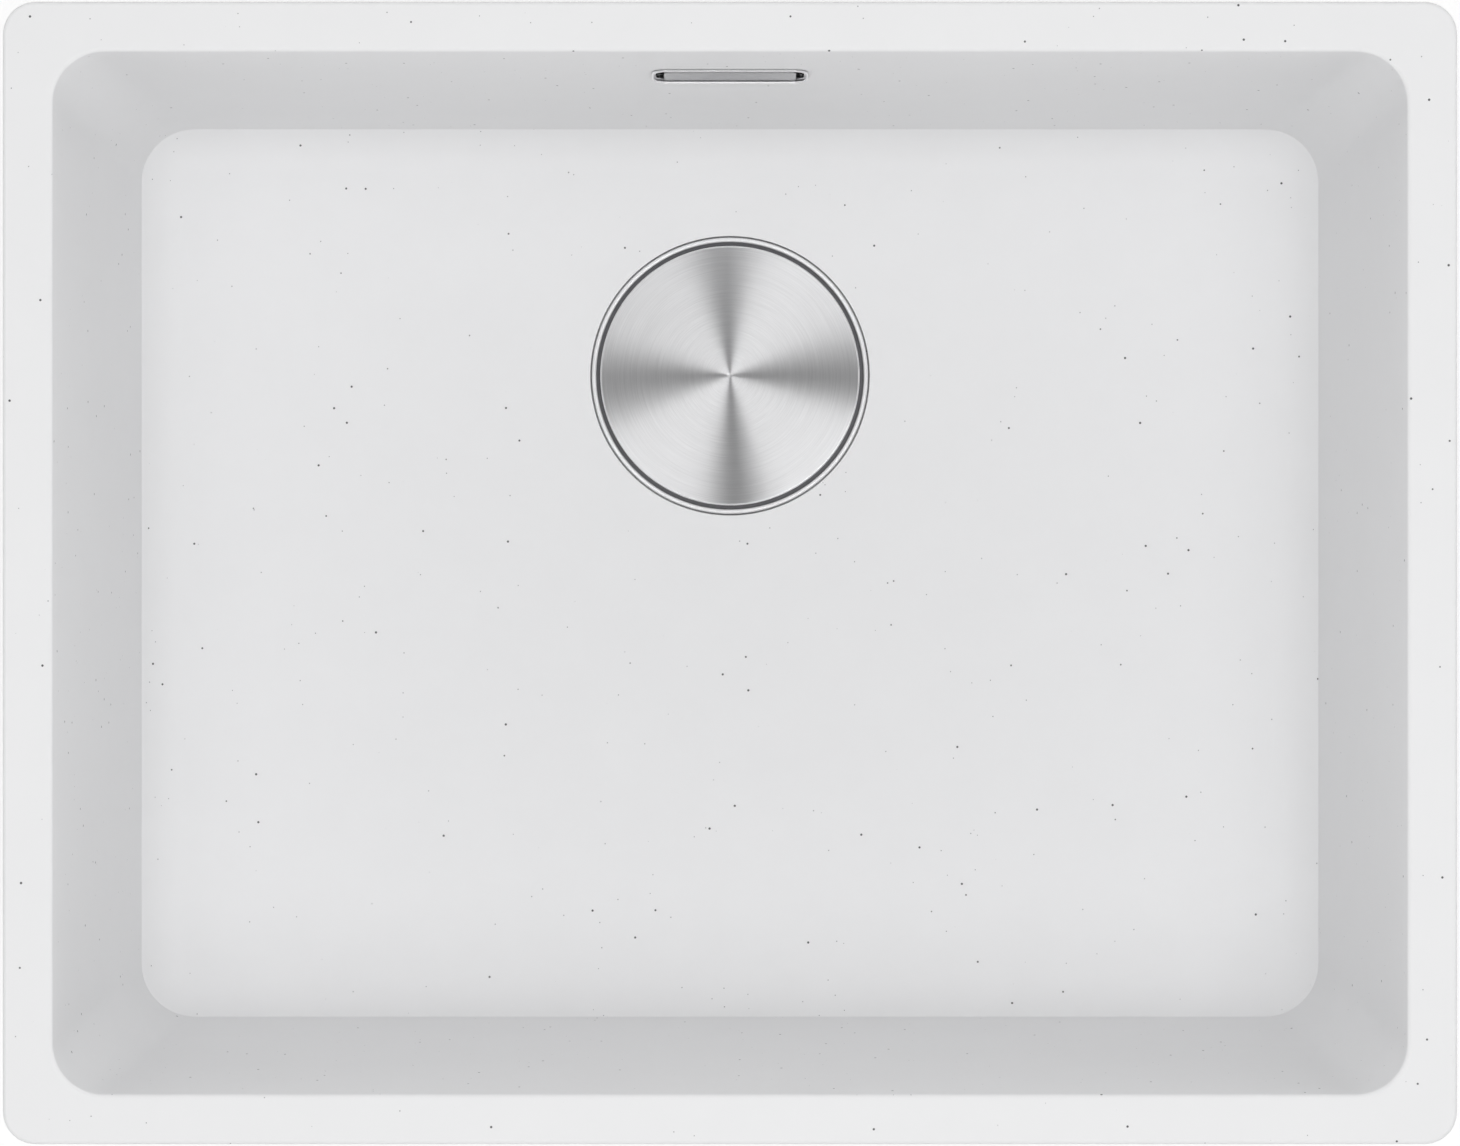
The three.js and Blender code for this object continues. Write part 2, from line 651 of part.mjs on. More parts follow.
function makePipe() {
  const line = pipeLine();
  const root = PIPE_RADIUS - PIPE_ROOT_DEPTH;
  const bore = root - PIPE_WALL;
  const cuffBore = (SPIGOT_RADIUS + SEAT_GAP) / Math.cos(Math.PI / PIPE_SIDES);
  const ribbedEnd = line.length - PIPE_LEAD;
  const ribs = Math.floor((ribbedEnd - PIPE_CUFF) / PIPE_RIB_PITCH);
  const pitch = (ribbedEnd - PIPE_CUFF) / ribs;
  const rings = [pipeRing(line, 0, PIPE_RADIUS), pipeRing(line, PIPE_CUFF, PIPE_RADIUS)];
  for (let rib = 0; rib < ribs; rib += 1) {
    const along = PIPE_CUFF + rib * pitch;
    rings.push(pipeRing(line, along + pitch / 3, root));
    rings.push(pipeRing(line, along + 2 * pitch / 3, PIPE_RADIUS));
  }
  rings.push(pipeRing(line, ribbedEnd, root));
  rings.push(pipeRing(line, line.length - PIPE_COLLAR, root));
  rings.push(pipeRing(line, line.length - PIPE_COLLAR, root + PIPE_COLLAR_RISE));
  rings.push(pipeRing(line, line.length, root + PIPE_COLLAR_RISE));
  rings.push(pipeRing(line, line.length, bore));
  for (let rib = ribs; rib > 0; rib -= BORE_RIB_STEP) {
    rings.push(pipeRing(line, PIPE_CUFF + rib * pitch, bore));
  }
  rings.push(pipeRing(line, PIPE_CUFF + SPIGOT_WALL, bore));
  rings.push(pipeRing(line, PIPE_CUFF, cuffBore));
  rings.push(pipeRing(line, 0, cuffBore));
  return loopedLoft(rings);
}

// Waste, its pieces turned about the drain's axis

function makeCup() {
  const rim = CUP_RIM_RADIUS;
  const beadTop = PAN_Z + CUP_BEAD_RISE;
  const beadEdge = CUP_BEAD_WIDTH / 4;
  const inner = CUP_RADIUS - CUP_SHEET;
  const under = CUP_FLANGE_Z - CUP_SHEET;
  const round = CUP_BOTTOM_ROUND;
  const hole = SCREW_SHANK_RADIUS + SEAT_GAP;
  const cup = turned([
    [hole, CUP_BASE_Z],
    [CUP_RADIUS - round, CUP_BASE_Z],
    [CUP_RADIUS - round * 0.3, CUP_BASE_Z + round * 0.3],
    [CUP_RADIUS, CUP_BASE_Z + round],
    [CUP_RADIUS, under],
    [rim, under],
    [rim, beadTop - beadEdge],
    [rim - beadEdge, beadTop],
    [rim - CUP_BEAD_WIDTH + beadEdge, beadTop],
    [rim - CUP_BEAD_WIDTH, beadTop - beadEdge],
    [rim - CUP_BEAD_WIDTH, CUP_FLANGE_Z],
    [inner + CUP_SHEET, CUP_FLANGE_Z],
    [inner, CUP_FLANGE_Z - CUP_SHEET],
    [inner, CUP_FLOOR_Z + round],
    [inner - round * 0.3, CUP_FLOOR_Z + round * 0.3],
    [inner - round, CUP_FLOOR_Z],
    [hole, CUP_FLOOR_Z],
  ], ROUND_LARGE);
  const slots = [];
  for (let i = 0; i < CUP_SLOTS; i += 1) {
    slots.push(arcSlot(2 * Math.PI * i / CUP_SLOTS));
  }
  return cutBy(cup, slots);
}

// A kidney-shaped cutter for one slot in the cup's bottom
function arcSlot(angle) {
  const half = Math.PI * CUP_SLOT_SHARE / CUP_SLOTS;
  const shape = new THREE.Shape();
  shape.absarc(0, 0, CUP_SLOT_OUTER, angle - half, angle + half, false);
  shape.absarc(0, 0, CUP_SLOT_INNER, angle + half, angle - half, true);
  shape.closePath();
  const options = { depth: 4 * CUP_SHEET, bevelEnabled: false, curveSegments: SLOT_STEPS };
  const cutter = new THREE.ExtrudeGeometry(shape, options);
  return solid(cutter.translate(0, 0, CUP_BASE_Z - CUP_SHEET));
}

function makeRimSeal() {
  const low = RECESS_Z + SEAT_GAP;
  return ringBody(DRAIN_HOLE_RADIUS + 1, CUP_RIM_RADIUS - 1, low, low + RIM_SEAL_THICKNESS);
}

function makeLowerGasket() {
  const low = BODY_TOP_Z + SEAT_GAP;
  return ringBody(DRAIN_HOLE_RADIUS + 2, BODY_FLANGE_RADIUS - 1, low, low + LOWER_GASKET_THICKNESS);
}

const SCREW_SOCKET_RADIUS = STEM_RADIUS + CLIP_WALL + 2 * SEAT_GAP;
const SCREW_SHANK_RADIUS = SCREW_SOCKET_RADIUS + SCREW_WALL;
const SCREW_TOP_Z = CUP_FLOOR_Z + SEAT_GAP + SCREW_HEAD_HEIGHT;
const BOSS_BORE_RADIUS = SCREW_SHANK_RADIUS + INSERT_WALL + 2 * SEAT_GAP;

function makeCentreScrew() {
  const seat = CUP_FLOOR_Z + SEAT_GAP;
  const end = seat - SCREW_LENGTH;
  const socketEnd = end + SCREW_WALL;
  const screw = turned([
    [0, end],
    [SCREW_SHANK_RADIUS, end],
    [SCREW_SHANK_RADIUS, seat],
    [SCREW_HEAD_RADIUS, seat],
    [SCREW_HEAD_RADIUS, SCREW_TOP_Z - SCREW_HEAD_HEIGHT / 3],
    [SCREW_HEAD_RADIUS - SCREW_HEAD_HEIGHT / 3, SCREW_TOP_Z],
    [SCREW_SOCKET_RADIUS, SCREW_TOP_Z],
    [SCREW_SOCKET_RADIUS, socketEnd],
    [0, socketEnd],
  ], ROUND_SMALL);
  const slotDepth = SCREW_HEAD_HEIGHT / 2;
  const slot = block(3 * SCREW_HEAD_RADIUS, SCREW_WALL, slotDepth, 0, 0, SCREW_TOP_Z);
  return screw.subtract(slot);
}

function makeCentreInsert() {
  const inner = SCREW_SHANK_RADIUS + SEAT_GAP;
  return ringBody(inner, inner + INSERT_WALL, CONE_TOP_Z - INSERT_HEIGHT, CONE_TOP_Z, ROUND_SMALL);
}

function makeWasteBody() {
  const wallRadius = BODY_BORE_RADIUS + BODY_WALL;
  const flangeBase = BODY_TOP_Z - BODY_FLANGE_THICKNESS;
  const low = CONE_TOP_Z + SEAT_GAP;
  const outside = turned([
    [0, low],
    [wallRadius + JOINT_LIP_WIDTH, low],
    [wallRadius + JOINT_LIP_WIDTH, low + JOINT_LIP_THICKNESS],
    [wallRadius, low + JOINT_LIP_THICKNESS],
    [wallRadius, flangeBase],
    [BODY_FLANGE_RADIUS, flangeBase],
    [BODY_FLANGE_RADIUS, BODY_TOP_Z],
    [0, BODY_TOP_Z],
  ], ROUND_LARGE);
  const inside = bar(BODY_BORE_RADIUS, low - 1, BODY_TOP_Z + 1, ROUND_LARGE);
  const portStart = BODY_BORE_RADIUS + BODY_WALL / 2;
  const port = portBody(PORT_RADIUS, portStart, PORT_END_Y - DRAIN_Y);
  const portBore = portBody(PORT_BORE_RADIUS, portStart - BODY_WALL, PORT_END_Y - DRAIN_Y + 1);
  return cutBy(outside.add(port), [inside, portBore]);
}

const OUTLET_BORE_RADIUS = OUTLET_RADIUS - OUTLET_WALL;
const CONE_INSIDE_TOP_Z = BODY_NECK_Z + BODY_WALL / 2;
const CONE_INSIDE_END_Z = FUNNEL_END_Z + BODY_WALL / 2;

// The body's lower half, which narrows to the outlet
function makeOutletCone() {
  const wallRadius = BODY_BORE_RADIUS + BODY_WALL;
  const lipBase = CONE_TOP_Z - JOINT_LIP_THICKNESS;
  return turned([
    [OUTLET_BORE_RADIUS, OUTLET_Z],
    [OUTLET_RADIUS, OUTLET_Z],
    [OUTLET_RADIUS, FUNNEL_END_Z],
    [wallRadius, BODY_NECK_Z],
    [wallRadius, lipBase],
    [wallRadius + JOINT_LIP_WIDTH, lipBase],
    [wallRadius + JOINT_LIP_WIDTH, CONE_TOP_Z],
    [BODY_BORE_RADIUS, CONE_TOP_Z],
    [BODY_BORE_RADIUS, CONE_INSIDE_TOP_Z],
    [OUTLET_BORE_RADIUS, CONE_INSIDE_END_Z],
  ], ROUND_LARGE);
}

// Four ribs that stand on the cone's slope and carry the centre screw's boss
function makeSpider() {
  const bossRadius = BOSS_BORE_RADIUS + BOSS_WALL;
  const bossBase = CONE_TOP_Z - INSERT_HEIGHT - BOSS_WALL;
  const ribTop = CONE_TOP_Z - SPIDER_RIB_DROP;
  const ribs = [];
  for (let i = 0; i < SPIDER_RIBS; i += 1) {
    const from = bossRadius - BOSS_WALL / 2;
    const length = BODY_BORE_RADIUS - from;
    const middleZ = (ribTop + bossBase) / 2;
    const rib = block(length, SPIDER_RIB_THICKNESS, ribTop - bossBase, from + length / 2, 0, middleZ);
    ribs.push(rib.rotate([0, 0, 360 * i / SPIDER_RIBS]));
  }
  const gap = SEAT_GAP;
  const slope = (BODY_BORE_RADIUS - OUTLET_BORE_RADIUS) / (CONE_INSIDE_TOP_Z - CONE_INSIDE_END_Z);
  const lowRadius = BODY_BORE_RADIUS - slope * (CONE_INSIDE_TOP_Z - bossBase);
  const room = turned([
    [0, bossBase],
    [lowRadius - gap * slope, bossBase],
    [BODY_BORE_RADIUS - gap, CONE_INSIDE_TOP_Z + gap / 2],
    [BODY_BORE_RADIUS - gap, CONE_TOP_Z],
    [0, CONE_TOP_Z],
  ], ROUND_LARGE);
  const boss = ringBody(SCREW_SHANK_RADIUS + SEAT_GAP, bossRadius, bossBase, CONE_TOP_Z, ROUND_MEDIUM);
  const pocketBase = CONE_TOP_Z - INSERT_HEIGHT - SEAT_GAP;
  const pocket = bar(BOSS_BORE_RADIUS, pocketBase, CONE_TOP_Z + 1, ROUND_SMALL);
  return joined([joined(ribs).intersect(room), boss]).subtract(pocket);
}

// A round bar along Y at the port's height, its ends measured from the drain's axis
function portBody(radius, from, to, steps = ROUND_SMALL) {
  return bar(radius, 0, to - from, steps).rotate([90, 0, 0]).translate([0, to, PORT_Z]);
}

function makeUnionNut() {
  const collar = PIPE_RADIUS - PIPE_ROOT_DEPTH + PIPE_COLLAR_RISE;
  const threadRadius = Math.max(PORT_RADIUS, collar) + SEAT_GAP;
  const capInner = PIPE_END_Y + PIPE_COLLAR + SEAT_GAP - DRAIN_Y;
  const capOuter = capInner + UNION_NUT_WALL;
  const outer = (threadRadius + UNION_NUT_WALL) / Math.cos(Math.PI / UNION_NUT_SIDES);
  const body = portBody(outer, capOuter - UNION_NUT_LENGTH, capOuter, UNION_NUT_SIDES);
  const thread = portBody(threadRadius, capOuter - 2 * UNION_NUT_LENGTH, capInner, ROUND_MEDIUM);
  const mouth = portBody(PIPE_RADIUS - PIPE_ROOT_DEPTH + SEAT_GAP, capInner - 1, capOuter + 1, ROUND_MEDIUM);
  return cutBy(body, [thread, mouth]);
}

function makeUnionSeal() {
  const from = PORT_END_Y + SEAT_GAP - DRAIN_Y;
  const collar = PIPE_RADIUS - PIPE_ROOT_DEPTH + PIPE_COLLAR_RISE;
  const outer = portBody(collar, from, from + UNION_SEAL_THICKNESS);
  const bore = portBody(PORT_BORE_RADIUS, from - 1, from + UNION_SEAL_THICKNESS + 1);
  return outer.subtract(bore);
}

// Strainer basket

const BASKET_TOP_Z = CUP_FLANGE_Z - BASKET_RIM_DROP;
const BASKET_BASE_Z = BASKET_TOP_Z - BASKET_HEIGHT;
const BASKET_FLOOR_Z = BASKET_BASE_Z + BASKET_SHEET;
const STOPPER_TOP_Z = BASKET_BASE_Z - SEAT_GAP;
const STOPPER_LIP_Z = CUP_FLOOR_Z + SEAT_GAP;
const NUT_TOP_Z = STOPPER_TOP_Z - STOPPER_THICKNESS - SEAT_GAP;
const STEM_HOLE_RADIUS = STEM_RADIUS + SEAT_GAP;
const COLLAR_Z = BASKET_FLOOR_Z + SEAT_GAP;
const CLIP_TOP_Z = SCREW_TOP_Z - SEAT_GAP;

function makeBasketShell() {
  const rim = BASKET_RIM_RADIUS;
  const foot = BASKET_FOOT_RADIUS;
  const sheet = BASKET_SHEET;
  const shell = turned([
    [STEM_HOLE_RADIUS, BASKET_BASE_Z],
    [foot, BASKET_BASE_Z],
    [foot + sheet, BASKET_FLOOR_Z + sheet],
    [rim - 2 * sheet, BASKET_TOP_Z - 3 * sheet],
    [rim, BASKET_TOP_Z - 2 * sheet],
    [rim, BASKET_TOP_Z - sheet / 2],
    [rim - sheet / 2, BASKET_TOP_Z],
    [rim - 3 * sheet, BASKET_TOP_Z - sheet],
    [foot, BASKET_FLOOR_Z + sheet],
    [foot - sheet / 2, BASKET_FLOOR_Z],
    [STEM_HOLE_RADIUS, BASKET_FLOOR_Z],
  ], ROUND_LARGE);
  const slotHeight = BASKET_HEIGHT - 2 * BASKET_SLOT_MARGIN;
  const slotZ = BASKET_BASE_Z + BASKET_HEIGHT / 2;
  const cutters = [];
  for (let i = 0; i < BASKET_SLOTS; i += 1) {
    const slot = block(rim / 2, BASKET_SLOT_WIDTH, slotHeight, rim * 0.9, 0, slotZ);
    cutters.push(slot.rotate([0, 0, 360 * (i + 0.5) / BASKET_SLOTS]));
  }
  for (let row = 0; row < BASKET_HOLE_ROWS; row += 1) {
    const circle = foot - BASKET_HOLE_MARGIN - row * BASKET_HOLE_ROW;
    for (let i = 0; i < BASKET_HOLES; i += 1) {
      const hole = bar(BASKET_HOLE_RADIUS, BASKET_BASE_Z - 1, BASKET_FLOOR_Z + 1, HOLE_SIDES);
      cutters.push(hole.translate([circle, 0, 0]).rotate([0, 0, 360 * (i + row / 2) / BASKET_HOLES]));
    }
  }
  return cutBy(shell, cutters);
}

function makeStopper() {
  const lip = STOPPER_THICKNESS;
  return turned([
    [STEM_HOLE_RADIUS, STOPPER_TOP_Z - STOPPER_THICKNESS],
    [STOPPER_HUB_RADIUS, STOPPER_TOP_Z - STOPPER_THICKNESS],
    [STOPPER_RADIUS - 2 * lip, STOPPER_LIP_Z + lip],
    [STOPPER_RADIUS - 1.5 * lip, STOPPER_LIP_Z],
    [STOPPER_RADIUS, STOPPER_LIP_Z],
    [STOPPER_RADIUS, STOPPER_LIP_Z + lip / 2],
    [STOPPER_RADIUS - lip / 2, STOPPER_LIP_Z + lip],
    [STOPPER_HUB_RADIUS + lip, STOPPER_TOP_Z],
    [STEM_HOLE_RADIUS, STOPPER_TOP_Z],
  ], ROUND_MEDIUM);
}

function makeStem() {
  const knobSocketTop = COLLAR_Z + STEM_COLLAR_HEIGHT + KNOB_HEIGHT - KNOB_TOP_HEIGHT;
  const collarTop = COLLAR_Z + STEM_COLLAR_HEIGHT;
  const clipBase = CLIP_TOP_Z - CLIP_LENGTH;
  const neck = STEM_RADIUS * 0.8;
  return turned([
    [0, clipBase - STEM_RADIUS],
    [STEM_RADIUS / 2, clipBase - STEM_RADIUS],
    [STEM_RADIUS, clipBase - SEAT_GAP],
    [neck, clipBase - SEAT_GAP],
    [neck, CLIP_TOP_Z + SEAT_GAP],
    [STEM_RADIUS, CLIP_TOP_Z + SEAT_GAP],
    [STEM_RADIUS, COLLAR_Z],
    [STEM_COLLAR_RADIUS, COLLAR_Z],
    [STEM_COLLAR_RADIUS, collarTop],
    [STEM_RADIUS, collarTop],
    [STEM_RADIUS, knobSocketTop - SEAT_GAP],
    [0, knobSocketTop - SEAT_GAP],
  ], ROUND_SMALL);
}

function makeKnob() {
  const base = COLLAR_Z + STEM_COLLAR_HEIGHT + SEAT_GAP;
  const top = base + KNOB_HEIGHT;
  const shoulder = top - KNOB_TOP_HEIGHT;
  const edge = KNOB_TOP_HEIGHT / 4;
  const bore = STEM_RADIUS + SEAT_GAP;
  return turned([
    [bore, base],
    [KNOB_NECK_RADIUS + edge, base],
    [KNOB_NECK_RADIUS, base + edge],
    [KNOB_NECK_RADIUS, shoulder - 2 * edge],
    [KNOB_RADIUS - edge, shoulder],
    [KNOB_RADIUS, shoulder + edge],
    [KNOB_RADIUS, top - edge],
    [KNOB_RADIUS - edge, top],
    [0, top],
    [0, shoulder],
    [bore, shoulder],
  ], ROUND_MEDIUM);
}

function makeBasketNut() {
  const nut = bar(NUT_RADIUS, NUT_TOP_Z - NUT_HEIGHT, NUT_TOP_Z, 6);
  return nut.subtract(bar(STEM_HOLE_RADIUS, NUT_TOP_Z - 2 * NUT_HEIGHT, NUT_TOP_Z + 1));
}

// A split sleeve in the stem's groove
function makeBasketClip() {
  const inner = STEM_RADIUS * 0.8 + SEAT_GAP;
  const outer = STEM_RADIUS + CLIP_WALL;
  const sleeve = turned([
    [inner, CLIP_TOP_Z - CLIP_LENGTH],
    [inner + CLIP_WALL / 2, CLIP_TOP_Z - CLIP_LENGTH],
    [outer, CLIP_TOP_Z - CLIP_LENGTH / 2],
    [inner + CLIP_WALL / 2, CLIP_TOP_Z],
    [inner, CLIP_TOP_Z],
  ], ROUND_SMALL);
  const middleZ = CLIP_TOP_Z - CLIP_LENGTH / 2;
  return sleeve.subtract(block(2 * outer, CLIP_SPLIT, 2 * CLIP_LENGTH, outer, 0, middleZ));
}

// Cover

const COVER_EDGE_Z = PAN_Z + COVER_EDGE_RISE;

function makeCover() {
  const radius = COVER_RADIUS;
  const sheet = COVER_SHEET;
  const edge = sheet / 2;
  const dome = (r) => COVER_EDGE_Z + COVER_DOME * (1 - (r / radius) ** 2);
  const stations = [0.4, 0.8];
  const skirt = COVER_EDGE_Z - COVER_EDGE_DROP;
  return turned([
    [0, dome(0) - sheet],
    ...stations.map((share) => [radius * share, dome(radius * share) - sheet]),
    [radius - sheet, dome(radius - sheet) - sheet],
    [radius - sheet, skirt],
    [radius - edge, skirt],
    [radius, skirt + edge],
    [radius, COVER_EDGE_Z - edge],
    [radius - edge * 0.3, COVER_EDGE_Z - edge * 0.3],
    [radius - edge, dome(radius - edge)],
    ...stations.map((share) => [radius * share, dome(radius * share)]).reverse(),
    [0, dome(0)],
  ], ROUND_LARGE);
}

function makeCoverFoot(index) {
  const angle = 2 * Math.PI * index / COVER_FEET + Math.PI / 2;
  const low = CUP_FLANGE_Z + SEAT_GAP;
  const high = COVER_EDGE_Z - COVER_SHEET - SEAT_GAP;
  const foot = turned([
    [0, low],
    [COVER_FOOT_RADIUS - SEAT_GAP, low],
    [COVER_FOOT_RADIUS, low + SEAT_GAP],
    [COVER_FOOT_RADIUS, high],
    [0, high],
  ], ROUND_SMALL);
  return foot.translate([COVER_FOOT_CIRCLE * Math.cos(angle), COVER_FOOT_CIRCLE * Math.sin(angle), 0]);
}

// Materials

function material(color, roughness, metalness = 0) {
  return new THREE.MeshStandardMaterial({ color, roughness, metalness });
}

const composite = () => material('#e6e6e8', 0.55);
const brushedSteel = () => material('#c6c7c9', 0.38, 1);
const polishedSteel = () => material('#d8d9db', 0.15, 1);
const brass = () => material('#c9a24a', 0.35, 1);
const rubber = () => material('#2a2a2b', 0.85);
const whitePlastic = () => material('#dcdcda', 0.5);
const greyPlastic = () => material('#8c8e90', 0.5);

// Assembly

const sink = new THREE.Group();
const drain = new THREE.Group();
const overflow = new THREE.Group();
drain.position.set(0, DRAIN_Y, 0);
overflow.position.set(0, OVERFLOW_Y, -OVERFLOW_DROP);
overflow.rotation.x = -DRAFT;
sink.add(drain, overflow);

function addPiece(group, name, body, look) {
  const mesh = new THREE.Mesh(geometryOf(body), look);
  mesh.name = name;
  group.add(mesh);
}

addPiece(sink, 'bowl', makeBowl(), composite());
addPiece(sink, 'overflow_pipe', makePipe(), whitePlastic());

addPiece(drain, 'waste_cup', makeCup(), polishedSteel());
addPiece(drain, 'rim_seal', makeRimSeal(), rubber());
addPiece(drain, 'lower_gasket', makeLowerGasket(), rubber());
addPiece(drain, 'waste_body', makeWasteBody(), whitePlastic());
addPiece(drain, 'outlet_cone', makeOutletCone(), whitePlastic());
addPiece(drain, 'waste_spider', makeSpider(), whitePlastic());
addPiece(drain, 'centre_screw', makeCentreScrew(), brushedSteel());
addPiece(drain, 'centre_insert', makeCentreInsert(), brass());
addPiece(drain, 'overflow_nut', makeUnionNut(), whitePlastic());
addPiece(drain, 'overflow_seal', makeUnionSeal(), rubber());

addPiece(drain, 'basket_shell', makeBasketShell(), brushedSteel());
addPiece(drain, 'basket_stopper', makeStopper(), rubber());
addPiece(drain, 'basket_stem', makeStem(), brushedSteel());
addPiece(drain, 'basket_knob', makeKnob(), greyPlastic());
addPiece(drain, 'basket_nut', makeBasketNut(), brass());
addPiece(drain, 'basket_clip', makeBasketClip(), polishedSteel());

addPiece(drain, 'cover_disc', makeCover(), brushedSteel());
for (let index = 0; index < COVER_FEET; index += 1) {
  addPiece(drain, `cover_foot_${index + 1}`, makeCoverFoot(index), rubber());
}

addPiece(overflow, 'overflow_frame', makeSurround(), polishedSteel());
addPiece(overflow, 'overflow_plate', makePlate(), brushedSteel());
addPiece(overflow, 'overflow_gasket', makeOverflowGasket(), rubber());
addPiece(overflow, 'overflow_elbow', makeElbow(), whitePlastic());
addPiece(overflow, 'overflow_screw_left', makeFixingScrew(-BAR_X), brushedSteel());
addPiece(overflow, 'overflow_screw_right', makeFixingScrew(BAR_X), brushedSteel());

export default sink;
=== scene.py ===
import math

import bmesh
import bpy
from mathutils import Matrix, Vector


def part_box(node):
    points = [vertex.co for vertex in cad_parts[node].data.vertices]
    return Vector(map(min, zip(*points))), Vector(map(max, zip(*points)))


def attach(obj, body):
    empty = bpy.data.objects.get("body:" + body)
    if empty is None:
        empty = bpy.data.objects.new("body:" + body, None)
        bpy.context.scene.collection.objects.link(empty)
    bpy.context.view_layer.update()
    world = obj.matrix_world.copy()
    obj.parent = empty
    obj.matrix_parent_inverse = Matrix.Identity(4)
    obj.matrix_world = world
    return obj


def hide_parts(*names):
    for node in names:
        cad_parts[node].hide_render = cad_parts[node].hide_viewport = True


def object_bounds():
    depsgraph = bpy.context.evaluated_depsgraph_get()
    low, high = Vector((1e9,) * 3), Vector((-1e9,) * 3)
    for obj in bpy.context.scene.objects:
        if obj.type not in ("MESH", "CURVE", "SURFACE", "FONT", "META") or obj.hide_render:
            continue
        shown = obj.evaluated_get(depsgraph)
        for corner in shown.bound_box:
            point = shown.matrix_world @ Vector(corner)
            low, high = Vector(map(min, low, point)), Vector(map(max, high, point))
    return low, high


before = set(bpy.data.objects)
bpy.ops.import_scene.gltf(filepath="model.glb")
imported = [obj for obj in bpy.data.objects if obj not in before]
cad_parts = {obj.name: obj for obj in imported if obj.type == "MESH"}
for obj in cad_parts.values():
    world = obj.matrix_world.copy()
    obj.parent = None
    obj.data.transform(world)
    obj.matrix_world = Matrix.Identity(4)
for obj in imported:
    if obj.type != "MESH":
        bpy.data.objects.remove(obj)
cad_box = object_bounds()

MM = 0.001


# Camera and studio
# The sink is seen from straight above its opening, from far enough for the walls to lean in only a little.
# It hangs over a pale floor, between soft lamps at its four corners and one above, under a sky of panels.

rim_low, rim_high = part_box("bowl")
CAMERA_HEIGHT = 2.45
FRAME_MARGIN = 1.0034
SENSOR_WIDTH = 36

camera_data = bpy.data.cameras.new("camera")
camera_data.sensor_width = SENSOR_WIDTH
camera_data.lens = SENSOR_WIDTH * CAMERA_HEIGHT / (FRAME_MARGIN * (rim_high.x - rim_low.x))
camera_data.clip_start = 0.01
camera = bpy.data.objects.new("camera", camera_data)
camera.location = (0, 0, CAMERA_HEIGHT)
bpy.context.scene.collection.objects.link(camera)
bpy.context.scene.camera = camera
bpy.context.scene.view_settings.view_transform = "Standard"


def emptied_tree(owner):
    """The node tree of a material or a world, with nothing in it."""
    owner.use_nodes = True
    owner.node_tree.nodes.clear()
    return owner.node_tree


def add_node(tree, kind, operation=None, **values):
    """A node with its inputs set by name, or by number as i0. A node or socket given as a value is linked."""
    node = tree.nodes.new("ShaderNode" + kind)
    if operation:
        node.operation = operation
    for name, value in values.items():
        socket = node.inputs[int(name[1:]) if name[1:].isdigit() else name.replace("_", " ")]
        if isinstance(value, bpy.types.Node):
            value = value.outputs[0]
        if isinstance(value, bpy.types.NodeSocket):
            tree.links.new(value, socket)
        else:
            socket.default_value = value
    return node


def camera_light(tree):
    """One where a ray comes from the camera, a mirror or a lens, and nought elsewhere."""
    path = add_node(tree, "LightPath").outputs
    seen = add_node(tree, "Math", "ADD", i0=path["Is Camera Ray"], i1=path["Is Glossy Ray"])
    either = add_node(tree, "Math", "ADD", i0=seen, i1=path["Is Transmission Ray"])
    return add_node(tree, "Math", "MINIMUM", i0=either, i1=1.0)


def make_floor():
    """A pale floor that hides nothing from a camera below it."""
    bm = bmesh.new()
    bmesh.ops.create_grid(bm, x_segments=1, y_segments=1, size=FLOOR_SIZE / 2)
    bmesh.ops.translate(bm, verts=bm.verts, vec=(0, 0, cad_box[0][2] - FLOOR_GAP))
    mesh = bpy.data.meshes.new("floor")
    bm.to_mesh(mesh)
    bm.free()
    floor = bpy.data.objects.new("floor", mesh)
    bpy.context.scene.collection.objects.link(floor)
    paint = bpy.data.materials.new("pale_floor")
    tree = emptied_tree(paint)
    matt = add_node(tree, "BsdfDiffuse", Color=(FLOOR_TONE, FLOOR_TONE, FLOOR_TONE, 1))
    strength = add_node(tree, "Math", "MULTIPLY", i0=camera_light(tree), i1=FLOOR_GLOW)
    glow = add_node(tree, "Emission", Color=WHITE, Strength=strength)
    both = add_node(tree, "AddShader", i0=matt, i1=glow)
    below = add_node(tree, "NewGeometry").outputs["Backfacing"]
    seen = add_node(tree, "MixShader", Fac=below, i1=both, i2=add_node(tree, "BsdfTransparent"))
    add_node(tree, "OutputMaterial", Surface=seen)
    mesh.materials.append(paint)


